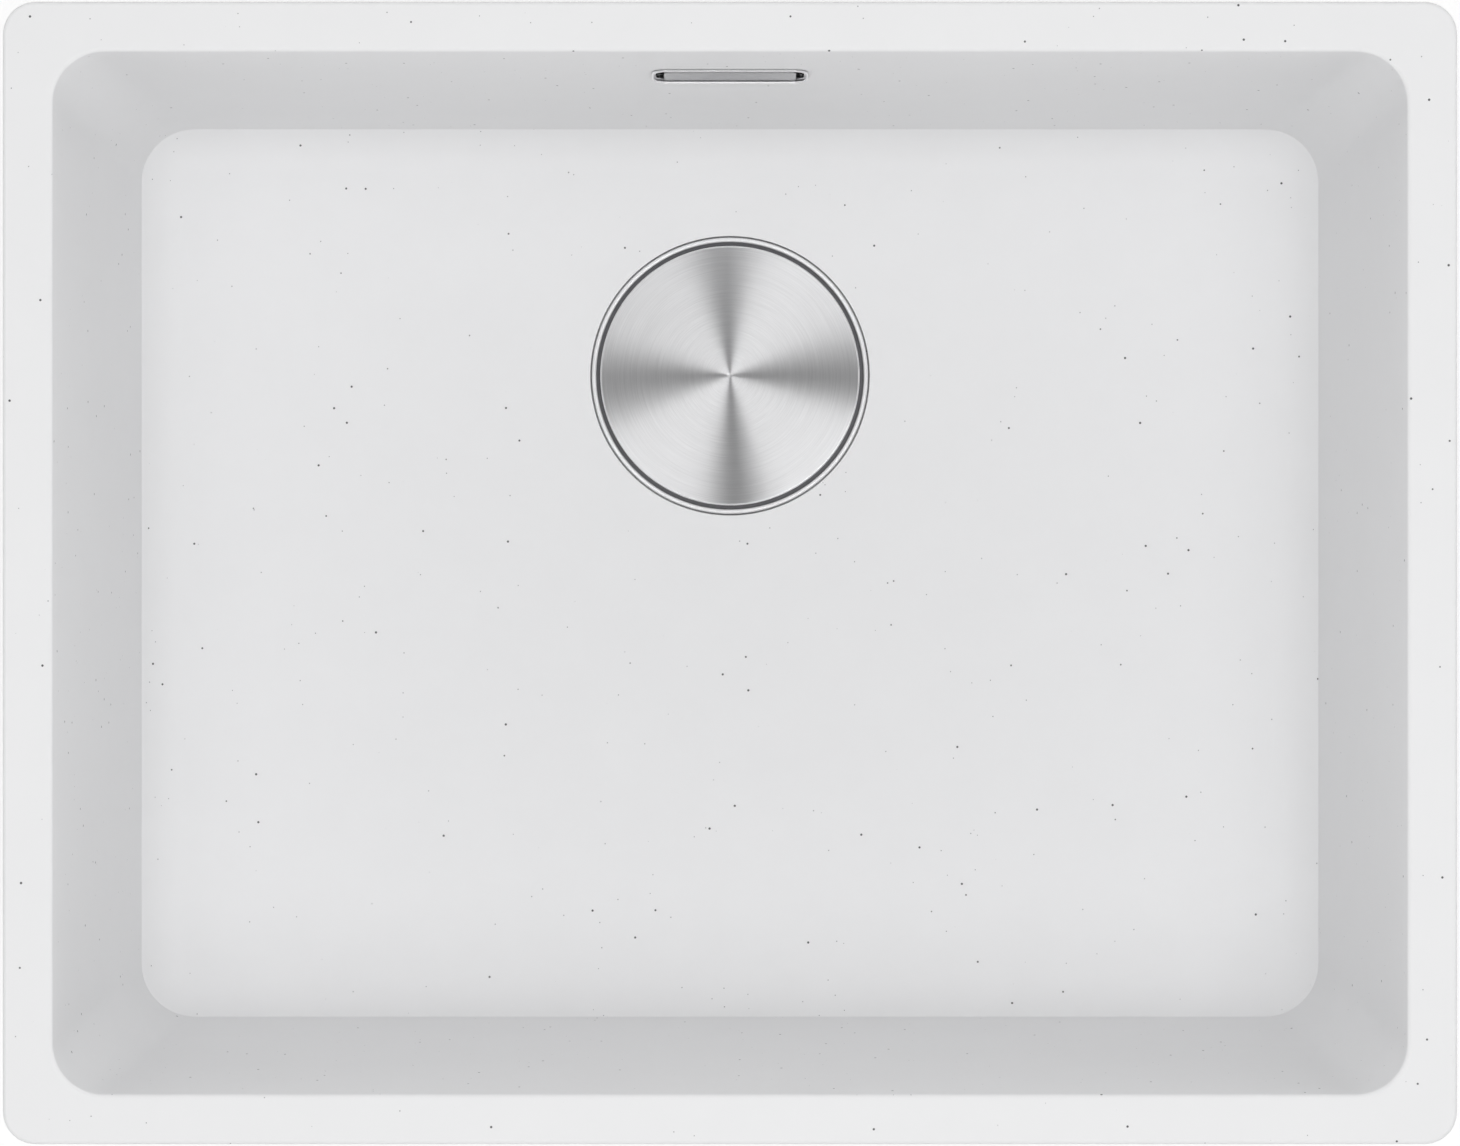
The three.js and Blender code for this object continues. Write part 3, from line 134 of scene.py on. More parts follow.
def make_world():
    """Four soft panels that meet overhead; dim gaps between them lie along the sink's length and width."""
    world = bpy.data.worlds.new("studio")
    bpy.context.scene.world = world
    tree = emptied_tree(world)
    toward = add_node(tree, "TexCoord").outputs["Generated"]
    parts = add_node(tree, "SeparateXYZ", Vector=toward).outputs
    aside, ahead = [add_node(tree, "Math", "ABSOLUTE", i0=parts[axis]) for axis in "XY"]
    nearest = add_node(tree, "Math", "MINIMUM", i0=aside, i1=ahead)
    panel = add_node(tree, "MapRange", Value=nearest, From_Min=GAP_HALF, From_Max=GAP_HALF + GAP_BLUR,
                     To_Min=GAP_LIGHT, To_Max=PANEL_LIGHT)
    fade = add_node(tree, "MapRange", Value=parts["Z"], From_Min=FADE_FROM, From_Max=FADE_TO,
                    To_Min=LOW_LIGHT, To_Max=HIGH_LIGHT)
    panel.interpolation_type = fade.interpolation_type = "SMOOTHSTEP"
    lean = add_node(tree, "VectorMath", "DOT_PRODUCT", i0=toward, i1=FRONT_LEAN).outputs["Value"]
    skew = add_node(tree, "Math", "SUBTRACT", i0=ahead, i1=aside)
    ends = add_node(tree, "Math", "MULTIPLY_ADD", i0=skew, i1=SIDE_LEAN, i2=1.0)
    front = add_node(tree, "Math", "ADD", i0=lean, i1=ends)
    faded = add_node(tree, "Math", "MULTIPLY", i0=panel, i1=fade)
    light = add_node(tree, "Math", "MULTIPLY", i0=faded, i1=front)
    add_node(tree, "OutputWorld", Surface=add_node(tree, "Background", Color=WHITE, Strength=light))


def make_lamp(name, azimuth, elevation, width, height, power):
    """A softbox that looks at the bowl, its width level."""
    data = bpy.data.lights.new(name, "AREA")
    data.shape = "RECTANGLE"
    data.size = width
    data.size_y = height
    data.energy = power
    lamp = bpy.data.objects.new(name, data)
    turn, lift = math.radians(azimuth), math.radians(elevation)
    level = math.cos(lift)
    place = Vector((math.cos(turn) * level, math.sin(turn) * level, math.sin(lift))) * LAMP_DISTANCE
    lamp.matrix_world = Matrix.Translation(place) @ place.to_track_quat("Z", "Y").to_matrix().to_4x4()
    bpy.context.scene.collection.objects.link(lamp)
    return lamp


WHITE = (1, 1, 1, 1)
FLOOR_SIZE = 40
FLOOR_GAP = 0.5 * MM
FLOOR_TONE = 0.72
FLOOR_GLOW = 0.45
PANEL_LIGHT = 1.0
GAP_LIGHT = 0.15
GAP_HALF = 0.03
GAP_BLUR = 0.06
LOW_LIGHT = 0.92
HIGH_LIGHT = 0.4
FADE_FROM = 0.25
FADE_TO = 0.7
SIDE_LEAN = 0.12
FRONT_LEAN = (0.04, -0.03, 0)
LAMP_DISTANCE = 2.6
STRIP_ELEVATION = 71
STRIP_HEIGHT = 0.5
OVERHEAD_SIZE = 1.0
OVERHEAD_POWER = 19.5

make_floor()
make_world()
for side, azimuth, width, power in (
    ("back_right", 52, 1.0, 3.0),
    ("back_left", 140, 1.15, 1.6),
    ("front_left", 228, 1.15, 5.2),
    ("front_right", 321, 1.15, 6.9),
):
    make_lamp(f"lamp_{side}", azimuth, STRIP_ELEVATION, width, STRIP_HEIGHT, power)
overhead = make_lamp("lamp_overhead", 0, 90, OVERHEAD_SIZE, OVERHEAD_SIZE, OVERHEAD_POWER)
overhead.visible_glossy = False


# Bowl
# One casting of white mineral composite: crushed stone in acrylic resin, poured between two heated moulds.
# Dark grains of the same stone show as sparse specks, and the demoulded face is smooth with a low sheen.

OPENING_HALF = Vector((0.2585, 0.199))
OPENING_CORNER = 19.5 * MM
FLANGE_CORNER = 12.5 * MM
FLANGE_WIDTH = 19 * MM
FLANGE_THICKNESS = 10 * MM
FLANGE_FILLET = 5 * MM
EDGE_ROUND = 1.5 * MM
WALL = 8 * MM
DRAFT = math.radians(5)
FLOOR_EDGE_Z = -197.5 * MM
PAN_Z = -200 * MM
RECESS_Z = -205.5 * MM
UNDERSIDE_Z = rim_low.z
FLOOR_CORNER = 22 * MM
FLOOR_FILLET = 14 * MM
FLOOR_SWEEP = 25.5 * MM
SWEEP_START = math.radians(45)
DRAIN = Vector((0, 81.4 * MM, 0))
PAN_RADIUS = 66 * MM
RECESS_RADIUS = 57.6 * MM
DRAIN_HOLE_RADIUS = 45 * MM
OVERFLOW_HOLE = (30.2 * MM, 9.6 * MM, 6 * MM)
OVERFLOW_Z = -51.5 * MM
OVERFLOW_Y = OPENING_HALF.y + OVERFLOW_Z * math.tan(DRAFT)
CORNER_SEGMENTS = 14
SIDE_CUTS = (22, 16)


def rounded_loop(bm, half_x, half_y, radius, z, segments=CORNER_SEGMENTS, cuts=(0, 0)):
    """The edges of a level rectangle with round corners, its straight sides cut into even lengths."""
    places = ((half_x, half_y), (-half_x, half_y), (-half_x, -half_y), (half_x, -half_y))
    corners = [bm.verts.new((x, y, z)) for x, y in places]
    bm.faces.new(corners)
    bmesh.ops.bevel(
        bm, geom=corners, offset=radius, segments=segments, profile=0.5, affect="VERTICES", material=-1
    )
    bm.faces.ensure_lookup_table()
    face = bm.faces[0]
    edges = set(face.edges)
    bmesh.ops.delete(bm, geom=[face], context="FACES_ONLY")
    for count, along in zip(cuts, (0, 1)):
        straight = [
            e for e in edges
            if abs(e.verts[0].co[1 - along] - e.verts[1].co[1 - along]) < 1e-7
            and e.calc_length() > 2 * radius / segments
        ]
        if count:
            made = bmesh.ops.subdivide_edges(bm, edges=straight, cuts=count)
            edges.update(e for e in made["geom_split"] if isinstance(e, bmesh.types.BMEdge))
    return list(edges)


def skinned(bm, loops):
    """The bmesh as a closed body: loops of edges joined one to the next, the first and last filled."""
    for lower, upper in zip(loops, loops[1:]):
        bmesh.ops.bridge_loops(bm, edges=lower + upper)
    bmesh.ops.contextual_create(bm, geom=loops[0])
    bmesh.ops.contextual_create(bm, geom=loops[-1])
    bmesh.ops.recalc_face_normals(bm, faces=bm.faces)
    return bm


def lofted(loops):
    """A closed body through outlines; each is a function that draws one in the bmesh it is given."""
    bm = bmesh.new()
    return skinned(bm, [loop(bm) for loop in loops])


def quarter(steps):
    """How far in and how far down each point of a rounded edge lies, as shares of its radius."""
    turns = [math.pi / 2 * step / steps for step in range(steps + 1)]
    return [(1 - math.sin(turn), 1 - math.cos(turn)) for turn in turns]


def wall_out(z):
    """How far the inner wall stands out from the opening's edge at a height; it is below nought."""
    return z * math.tan(DRAFT)


def wall_loop(outset, z):
    corner = OPENING_CORNER + (FLOOR_CORNER - OPENING_CORNER) * min(1, max(0, z / FLOOR_EDGE_Z))
    out = wall_out(z) + outset
    return lambda bm: bowl_loop(bm, out, corner + outset, z)


def flange_loop(inset, z):
    out = FLANGE_WIDTH - inset
    return lambda bm: bowl_loop(bm, out, FLANGE_CORNER - inset, z)


def bowl_loop(bm, out, corner, z):
    return rounded_loop(bm, OPENING_HALF.x + out, OPENING_HALF.y + out, corner, z, cuts=SIDE_CUTS)


def fillet_loops(outset, floor_z, radius, start, steps):
    """Outlines round the curve into a floor; a start later than the wall's lean leaves a crease."""
    middle_z = floor_z + radius
    start_out = wall_out(middle_z - radius * math.sin(start)) + outset
    loops = []
    for step in range(steps + 1):
        turn = start + (math.pi / 2 - start) * step / steps
        out = start_out - radius * (math.cos(start) - math.cos(turn))
        z = middle_z - radius * math.sin(turn)
        corner = FLOOR_CORNER + outset + out - start_out
        loops.append(lambda bm, out=out, corner=corner, z=z: bowl_loop(bm, out, corner, z))
    return loops


def turned(profile, steps=96):
    """A body spun about the Z axis from a closed line of (radius, height) points."""
    bm = bmesh.new()
    verts = [bm.verts.new((radius, 0, height)) for radius, height in profile]
    edges = [bm.edges.new(pair) for pair in zip(verts, verts[1:])]
    if profile[0][0] > 0:
        edges.append(bm.edges.new((verts[-1], verts[0])))
    bmesh.ops.spin(
        bm, geom=verts + edges, cent=(0, 0, 0), axis=(0, 0, 1), angle=math.tau, steps=steps, use_merge=True
    )
    bmesh.ops.remove_doubles(bm, verts=bm.verts, dist=1e-7)
    bmesh.ops.recalc_face_normals(bm, faces=bm.faces)
    return bm


def soften(bm, width, segments=3, least=32):
    """A small round along every edge that is sharper than the least angle, in degrees."""
    sharp = [e for e in bm.edges if len(e.link_faces) == 2 and e.calc_face_angle() > math.radians(least)]
    bmesh.ops.bevel(
        bm, geom=sharp, offset=width, segments=segments, profile=0.5, affect="EDGES", material=-1,
        clamp_overlap=True,
    )
    return bm


def placed(bm, matrix):
    bmesh.ops.transform(bm, matrix=matrix, verts=bm.verts)
    return bm


def moved(bm, place):
    return placed(bm, Matrix.Translation(place))


def swung(bm, turn):
    return placed(bm, Matrix.Rotation(turn, 4, "Z"))


def object_from(bm, name):
    mesh = bpy.data.meshes.new(name)
    bm.to_mesh(mesh)
    bm.free()
    made = bpy.data.objects.new(name, mesh)
    bpy.context.scene.collection.objects.link(made)
    return made


def carved(bm, cutters, operation="DIFFERENCE"):
    """The body cut by each cutter, or joined to it; the cutters are used up."""
    body = object_from(bm, "body")
    tools = [object_from(cutter, "tool") for cutter in cutters]
    for tool in tools:
        cut = body.modifiers.new("cut", "BOOLEAN")
        cut.operation = operation
        cut.solver = "MANIFOLD"
        cut.object = tool
    evaluated = body.evaluated_get(bpy.context.evaluated_depsgraph_get())
    result = bmesh.new()
    result.from_mesh(evaluated.to_mesh())
    evaluated.to_mesh_clear()
    for used in [body, *tools]:
        mesh = used.data
        bpy.data.objects.remove(used)
        bpy.data.meshes.remove(mesh)
    return result


def finished(bm, name, body, replaced, material, sharp=35):
    """The piece as an object that rides on its body and stands for its solid."""
    piece = object_from(bm, name)
    piece.data.shade_smooth()
    piece.data.set_sharp_from_angle(angle=math.radians(sharp))
    even = piece.modifiers.new("even_normals", "WEIGHTED_NORMAL")
    even.keep_sharp = True
    piece.data.materials.append(material)
    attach(piece, body)
    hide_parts(replaced)
    return piece


def new_paint(name):
    """A material, its emptied tree, and the place on the piece that its patterns follow."""
    paint = bpy.data.materials.new(name)
    tree = emptied_tree(paint)
    return paint, tree, add_node(tree, "TexCoord").outputs["Object"]


def tones(tree, pattern, dark, light, start=0, end=1):
    """A colour that a pattern runs from dark to light."""
    ramp = add_node(tree, "ValToRGB", Fac=pattern)
    for element, tone, place in zip(ramp.color_ramp.elements, (dark, light), (start, end)):
        element.color = (*tone, 1)
        element.position = place
    return ramp


def coated(paint, **values):
    """The material with its surface, one shader with these inputs."""
    shader = add_node(paint.node_tree, "BsdfPrincipled", **values)
    add_node(paint.node_tree, "OutputMaterial", Surface=shader)
    return paint


def make_composite():
    """White resin stone: a faintly clouded ground with dark grains, a few of them larger."""
    paint, tree, place = new_paint("white_composite")
    cloud = add_node(tree, "TexNoise", Vector=place, Scale=35.0, Detail=4.0, Roughness=0.6)
    color = tones(tree, cloud, (0.845, 0.846, 0.853), (0.875, 0.876, 0.882)).outputs["Color"]
    for scale, radius, tone in (
        (92.0, 0.52 * MM, (0.09, 0.09, 0.095, 1)),
        (150.0, 0.26 * MM, (0.30, 0.30, 0.31, 1)),
    ):
        cells = add_node(tree, "TexVoronoi", Vector=place, Scale=scale)
        spot = add_node(tree, "MapRange", Value=cells, From_Min=radius * scale * 0.75,
                        From_Max=radius * scale * 1.05, To_Min=1.0, To_Max=0.0)
        mix = tree.nodes.new("ShaderNodeMix")
        mix.data_type = "RGBA"
        tree.links.new(spot.outputs[0], mix.inputs["Factor"])
        tree.links.new(color, mix.inputs[6])
        mix.inputs[7].default_value = tone
        color = mix.outputs[2]
    fine = add_node(tree, "TexNoise", Vector=place, Scale=900.0, Detail=2.0)
    bump = add_node(tree, "Bump", Strength=0.06, Distance=0.0002, Height=fine)
    sheen = add_node(tree, "MapRange", Value=cloud, To_Min=0.42, To_Max=0.5)
    return coated(paint, Base_Color=color, Roughness=sheen, Normal=bump, IOR=1.5)


def make_bowl():
    wall = WALL / math.cos(DRAFT)
    foot = EDGE_ROUND / 2
    outside = lofted([
        *[flange_loop(EDGE_ROUND * inset, -EDGE_ROUND * drop) for inset, drop in quarter(5)],
        flange_loop(0, foot - FLANGE_THICKNESS),
        flange_loop(foot, -FLANGE_THICKNESS),
        *[
            wall_loop(wall + FLANGE_FILLET * out, -FLANGE_THICKNESS - FLANGE_FILLET * max(0.01, drop))
            for out, drop in quarter(6)
        ],
        *fillet_loops(wall, UNDERSIDE_Z, FLOOR_FILLET + WALL, DRAFT, 12),
    ])
    inside = lofted([
        wall_loop(EDGE_ROUND, 2 * MM),
        *[wall_loop(EDGE_ROUND * out, -EDGE_ROUND * drop) for out, drop in quarter(5)],
        *floor_sweep(),
        *floor_loops(10),
    ])
    recess_edge = 0.4 * MM
    waste_seat = moved(turned([
        (0, UNDERSIDE_Z - 5 * MM),
        (DRAIN_HOLE_RADIUS, UNDERSIDE_Z - 5 * MM),
        (DRAIN_HOLE_RADIUS, RECESS_Z),
        (RECESS_RADIUS, RECESS_Z),
        *[
            (RECESS_RADIUS + recess_edge * inset, PAN_Z - recess_edge * drop)
            for inset, drop in reversed(quarter(3))
        ],
        (RECESS_RADIUS + recess_edge, PAN_Z + 5 * MM),
        (0, PAN_Z + 5 * MM),
    ], 192), DRAIN)
    overflow_hole = at_overflow(wall_body((*OVERFLOW_HOLE, -5 * MM), (*OVERFLOW_HOLE, 15 * MM)))
    return carved(outside, [inside, waste_seat, overflow_hole])


def floor_sweep():
    return fillet_loops(0, FLOOR_EDGE_Z, FLOOR_SWEEP, SWEEP_START, 12)


def floor_loops(steps):
    """Outlines across the floor, from its edge down to the level circle round the waste."""
    def draw(bm, share):
        start = floor_sweep()[-1](bm)
        fall = (FLOOR_EDGE_Z - PAN_Z) * (3 - 2 * share) * share * share
        for vert in {v for e in start for v in e.verts}:
            spoke = Vector((vert.co.x, vert.co.y - DRAIN.y, 0))
            spoke.length += (PAN_RADIUS - spoke.length) * share
            vert.co = Vector((spoke.x, spoke.y + DRAIN.y, FLOOR_EDGE_Z - fall))
        return start

    return [lambda bm, share=step / steps: draw(bm, share) for step in range(1, steps + 1)]


def wall_body(*outlines):
    """A body through round-cornered outlines flat to the back wall: length, height, corner, distance out."""
    def drawn(half_length, half_height, corner, out):
        return lambda bm: rounded_loop(bm, half_length, half_height, corner, -out, 10)

    bm = lofted([drawn(*outline) for outline in sorted(outlines, key=lambda outline: -outline[3])])
    return placed(bm, Matrix.Rotation(math.pi / 2, 4, "X"))


def at_overflow(bm):
    """The body moved from the overflow's own frame, X along the wall, Y out through it and Z up along it."""
    return placed(bm, Matrix.Translation((0, OVERFLOW_Y, OVERFLOW_Z)) @ Matrix.Rotation(-DRAFT, 4, "X"))


composite = make_composite()
finished(make_bowl(), "bowl_casting", "sink", "bowl", composite)


# Seals in the floor
# Flat washers of black nitrile rubber, one under the cup's rim and a thicker one under the casting.
# The body's clamping force squeezes them, so their edges are slightly rounded.

RIM_SEAL = (46 * MM, 56 * MM, -205.2 * MM, -204.2 * MM)
LOWER_GASKET = (47 * MM, 56.5 * MM, -214.3 * MM, -212.3 * MM)


def make_rubber():
    """Black rubber with a dusty bloom and the fine grain of its mould."""
    paint, tree, place = new_paint("nitrile_rubber")
    bloom = add_node(tree, "TexNoise", Vector=place, Scale=120.0, Detail=5.0, Roughness=0.7)
    tone = tones(tree, bloom, (0.028, 0.028, 0.029), (0.062, 0.062, 0.064))
    grain = add_node(tree, "TexNoise", Vector=place, Scale=2600.0, Detail=2.0)
    bump = add_node(tree, "Bump", Strength=0.25, Distance=0.00006, Height=grain)
    rough = add_node(tree, "MapRange", Value=bloom, To_Min=0.62, To_Max=0.85)
    return coated(paint, Base_Color=tone, Roughness=rough, Normal=bump)


def washer(inner, outer, low, high, edge=0.25 * MM, steps=128):
    ring = turned([(inner, low), (outer, low), (outer, high), (inner, high)], steps)
    return soften(ring, edge)


rubber = make_rubber()
for name, node, size in (
    ("rim_seal_washer", "rim_seal", RIM_SEAL),
    ("lower_gasket_washer", "lower_gasket", LOWER_GASKET),
):
    finished(moved(washer(*size), DRAIN), name, "sink", node, rubber)


# Waste cup
# A deep-drawn cup of stainless sheet. Its rolled bead is polished and stands level with the floor; its white
# shine is a painted highlight, a near-white part-diffuse steel. Eight slots are punched in its bottom round
# the screw's hole.

CUP_RIM = 57 * MM
CUP_BEAD = 1.9 * MM
CUP_BEAD_TOP = PAN_Z + 0.3 * MM
CUP_RADIUS = 44 * MM
CUP_SHEET = 1 * MM
CUP_FLANGE_Z = -202.9 * MM
CUP_FLOOR_Z = -250.9 * MM
CUP_ROUND_OUT = 5 * MM
CUP_ROUND_IN = 4 * MM
CUP_SLOTS = 8
CUP_SLOT_INNER = 11.2 * MM
CUP_SLOT_OUTER = 19.8 * MM
CUP_SLOT_SHARE = 0.64
SCREW_HOLE = 6.2 * MM


def grey(value):
    """The faintly blue grey of steel."""
    return value, value, value + 0.01


def make_plain_steel(name, dark, light, roughness, metallic=1.0):
    """Stainless of one finish with a faint mottle; given two values, its roughness follows the mottle too."""
    paint, tree, place = new_paint(name)
    mottle = add_node(tree, "TexNoise", Vector=place, Scale=400.0, Detail=3.0)
    if isinstance(roughness, tuple):
        roughness = add_node(tree, "MapRange", Value=mottle, To_Min=roughness[0], To_Max=roughness[1])
    tone = tones(tree, mottle, grey(dark), grey(light))
    return coated(paint, Base_Color=tone, Roughness=roughness, Metallic=metallic)


def paint_faces(piece, material, chosen):
    """Gives the chosen faces of a piece another material; here it lays painted shade and painted highlights
    on them.
    """
    piece.data.materials.append(material)
    for face in piece.data.polygons:
        if chosen(face):
            face.material_index = len(piece.data.materials) - 1


def from_drain(face):
    return (face.center - DRAIN).xy.length


def arc(centre, radius, start, end, steps):
    """Points round part of a circle in the profile's plane; the angles are in degrees."""
    turns = [math.radians(start + (end - start) * step / steps) for step in range(steps + 1)]
    return [(centre[0] + radius * math.cos(turn), centre[1] + radius * math.sin(turn)) for turn in turns]


def slot_cutter(inner, outer, turn, share, low, high):
    """A kidney-shaped cutter: a flat block's end swept round part of the axis."""
    bm = bmesh.new()
    corners = ((inner, low), (outer, low), (outer, high), (inner, high))
    end = bm.faces.new([bm.verts.new((radius, 0, z)) for radius, z in corners])
    swung(bm, turn - share / 2)
    bmesh.ops.spin(bm, geom=[end], cent=(0, 0, 0), axis=(0, 0, 1), angle=share, steps=8)
    bmesh.ops.recalc_face_normals(bm, faces=bm.faces)
    return bm


def gathered(bodies):
    """Bodies that stand clear of each other as one."""
    whole = bmesh.new()
    for bm in bodies:
        mesh = bpy.data.meshes.new("gathered")
        bm.to_mesh(mesh)
        bm.free()
        whole.from_mesh(mesh)
        bpy.data.meshes.remove(mesh)
    return whole


def round_axis(count, make, start=0):
    """Copies of a shape set evenly round the axis, as one; make draws it at an angle."""
    return gathered([make(math.tau * (n + start) / count) for n in range(count)])


def make_cup():
    inner = CUP_RADIUS - CUP_SHEET
    base = CUP_FLOOR_Z - CUP_SHEET
    bead = CUP_BEAD / 2
    bead_z = CUP_BEAD_TOP - bead
    shell = turned([
        (SCREW_HOLE, base),
        *arc((CUP_RADIUS - CUP_ROUND_OUT, base + CUP_ROUND_OUT), CUP_ROUND_OUT, -90, 0, 6),
        (CUP_RADIUS, CUP_FLANGE_Z - CUP_SHEET),
        (CUP_RIM, CUP_FLANGE_Z - CUP_SHEET),
        *arc((CUP_RIM - bead, bead_z), bead, 0, 180, 10),
        (CUP_RIM - CUP_BEAD, CUP_FLANGE_Z),
        (inner + 2 * CUP_SHEET, CUP_FLANGE_Z),
        *arc((inner + 2 * CUP_SHEET, CUP_FLANGE_Z - 2 * CUP_SHEET), 2 * CUP_SHEET, 105, 180, 5),
        *arc((inner - CUP_ROUND_IN, CUP_FLOOR_Z + CUP_ROUND_IN), CUP_ROUND_IN, 0, -90, 6),
        (SCREW_HOLE, CUP_FLOOR_Z),
    ], 192)
    share = math.tau * CUP_SLOT_SHARE / CUP_SLOTS
    low, high = base - 2 * MM, CUP_FLOOR_Z + 2 * MM
    slots = round_axis(
        CUP_SLOTS, lambda turn: slot_cutter(CUP_SLOT_INNER, CUP_SLOT_OUTER, turn, share, low, high)
    )
    return moved(carved(shell, [slots]), DRAIN)


polished_steel = make_plain_steel("polished_steel", 0.70, 0.78, (0.1, 0.2))
drawn_steel = make_plain_steel("drawn_steel", 0.44, 0.52, 0.36)
gap_shade_steel = make_plain_steel("gap_shade_steel", 0.17, 0.22, 0.42)
painted_highlight_steel = make_plain_steel("painted_highlight_steel", 0.92, 0.96, 0.3)
white_highlight_steel = make_plain_steel("white_highlight_steel", 0.97, 0.99, 0.25, 0.4)
cup = finished(make_cup(), "waste_cup_drawn", "sink", "waste_cup", drawn_steel)
bead_foot = CUP_RIM - CUP_BEAD
# The flange between the cup's wall and the bead gets a near-black steel: painted shade of the dark gap round
# the cover's edge.
paint_faces(cup, gap_shade_steel, lambda face: CUP_RADIUS + CUP_SHEET < from_drain(face) <= bead_foot)
# The bead's faces get a near-white, part-diffuse steel: a painted highlight for the polished bead.
paint_faces(cup, white_highlight_steel, lambda face: from_drain(face) > bead_foot and face.center.z > CUP_FLANGE_Z)


# Waste body, outlet cone and spider
# White polypropylene mouldings. Body and cone are spin-welded at the lip between them, and shut in the spider
# whose boss takes the centre screw. Gussets stiffen the flange, and the outlet has a G 1 1/2 thread.

BODY_BORE = 49 * MM
BODY_RADIUS = 52 * MM
BODY_FLANGE = 57.5 * MM
GUSSETS = 16
BODY_TOP_Z = -214.6 * MM
BODY_LOW_Z = -251.9 * MM
CONE_TOP_Z = -252.2 * MM
CONE_NECK_Z = -257.2 * MM
CONE_END_Z = -276.2 * MM
OUTLET_Z = UNDERSIDE_Z - 81.2 * MM
LIP = 2 * MM
LIP_THICKNESS = 2.4 * MM
OUTLET_RADIUS = 23.9 * MM
OUTLET_BORE = 20 * MM
PORT_Z = -233.1 * MM
PORT_RADIUS = 12 * MM
PORT_BORE = 7.5 * MM
PORT_END_Y = 68 * MM
SPIDER_BASE_Z = -266.2 * MM
SPIDER_TOP_Z = -253.2 * MM
BOSS_RADIUS = 13.5 * MM
SPIDER_ARM = (38.5 * MM, 3.2 * MM)
SPIDER_ARM_MIDDLE = 31.2 * MM
INSERT_RADIUS = 9.5 * MM
INSERT_SEAT_Z = -262.5 * MM
CASE_STEPS = 160
CASE_EDGE = 0.45 * MM
CASE_THREAD = 2.3 * MM


def make_moulded(name, dark, light):
    """Moulded polypropylene: even colour with faint flow clouds, a soft gloss and a slightly wavy skin."""
    paint, tree, place = new_paint(name)
    flow = add_node(tree, "TexNoise", Vector=place, Scale=45.0, Detail=3.0, Distortion=0.8)
    tone = tones(tree, flow, dark, light)
    skin = add_node(tree, "TexNoise", Vector=place, Scale=1500.0, Detail=2.0)
    bump = add_node(tree, "Bump", Strength=0.12, Distance=0.00008, Height=skin)
    rough = add_node(tree, "MapRange", Value=flow, To_Min=0.36, To_Max=0.52)
    return coated(paint, Base_Color=tone, Roughness=rough, Normal=bump)


def bar_along_y(radius, near, far, z, x=0, steps=48, end_radius=None):
    """A round bar that runs backwards, from one distance behind the axis to another."""
    profile = [(0, near), (radius, near), (end_radius or radius, far), (0, far)]
    return turned_back(turned(profile, steps), x, z)


def turned_back(bm, x, z):
    """A body made about the Z axis, laid down so that its top points backwards."""
    return placed(bm, Matrix.Translation((x, 0, z)) @ Matrix.Rotation(-math.pi / 2, 4, "X"))


def thread(root, crest, pitch, low, turns):
    """A screw thread's ridge, its section swept up a helix; its root lies inside the wall it grows from."""
    bm = bmesh.new()
    flank = (crest - root) * 0.55
    section = ((root - 0.4 * MM, 0), (root, 0), (crest, flank), (crest, flank + 0.2 * pitch),
               (root, 2 * flank + 0.2 * pitch), (root - 0.4 * MM, 2 * flank + 0.2 * pitch))
    end = bm.faces.new([bm.verts.new((radius, 0, low + z)) for radius, z in section])
    steps = int(turns * 64)
    bmesh.ops.spin(bm, geom=[end], cent=(0, 0, 0), axis=(0, 0, 1), angle=math.tau * turns, steps=steps,
                   dvec=(0, 0, pitch * turns / steps))
    bmesh.ops.recalc_face_normals(bm, faces=bm.faces)
    return bm


def block(size, centre, turn=0):
    bm = bmesh.new()
    bmesh.ops.create_cube(bm, size=1)
    return swung(placed(bm, Matrix.LocRotScale(centre, None, size)), turn)


def make_gusset(turn):
    """One web between the body's wall and the underside of its flange."""
    web = block((5 * MM, 1.6 * MM, 5 * MM), (BODY_RADIUS + 2 * MM, 0, BODY_TOP_Z - 6.4 * MM))
    low = [v for v in web.verts if v.co.z < BODY_TOP_Z - 6.5 * MM and v.co.x > BODY_RADIUS]
    bmesh.ops.translate(web, vec=(-4 * MM, 0, 0), verts=low)
    return swung(web, turn)


def make_body():
    shell = soften(turned([
        (BODY_BORE, BODY_LOW_Z),
        (BODY_RADIUS + LIP, BODY_LOW_Z),
        (BODY_RADIUS + LIP, BODY_LOW_Z + LIP_THICKNESS),
        (BODY_RADIUS, BODY_LOW_Z + LIP_THICKNESS),
        (BODY_RADIUS, BODY_TOP_Z - 4 * MM),
        (BODY_FLANGE, BODY_TOP_Z - 4 * MM),
        (BODY_FLANGE, BODY_TOP_Z),
        (BODY_BORE, BODY_TOP_Z),
    ], CASE_STEPS), CASE_EDGE)
    port = bar_along_y(PORT_RADIUS - 0.7 * MM, BODY_RADIUS - 1.5 * MM, PORT_END_Y, PORT_Z)
    ridge = thread(PORT_RADIUS - 0.75 * MM, PORT_RADIUS, CASE_THREAD, PORT_END_Y - 11 * MM, 4)
    ridge = turned_back(ridge, 0, PORT_Z)
    body = carved(shell, [round_axis(GUSSETS, make_gusset, 0.5), port, ridge], "UNION")
    bore = bar_along_y(PORT_BORE, BODY_BORE - 3 * MM, PORT_END_Y + 1 * MM, PORT_Z)
    return moved(carved(body, [bore]), DRAIN)


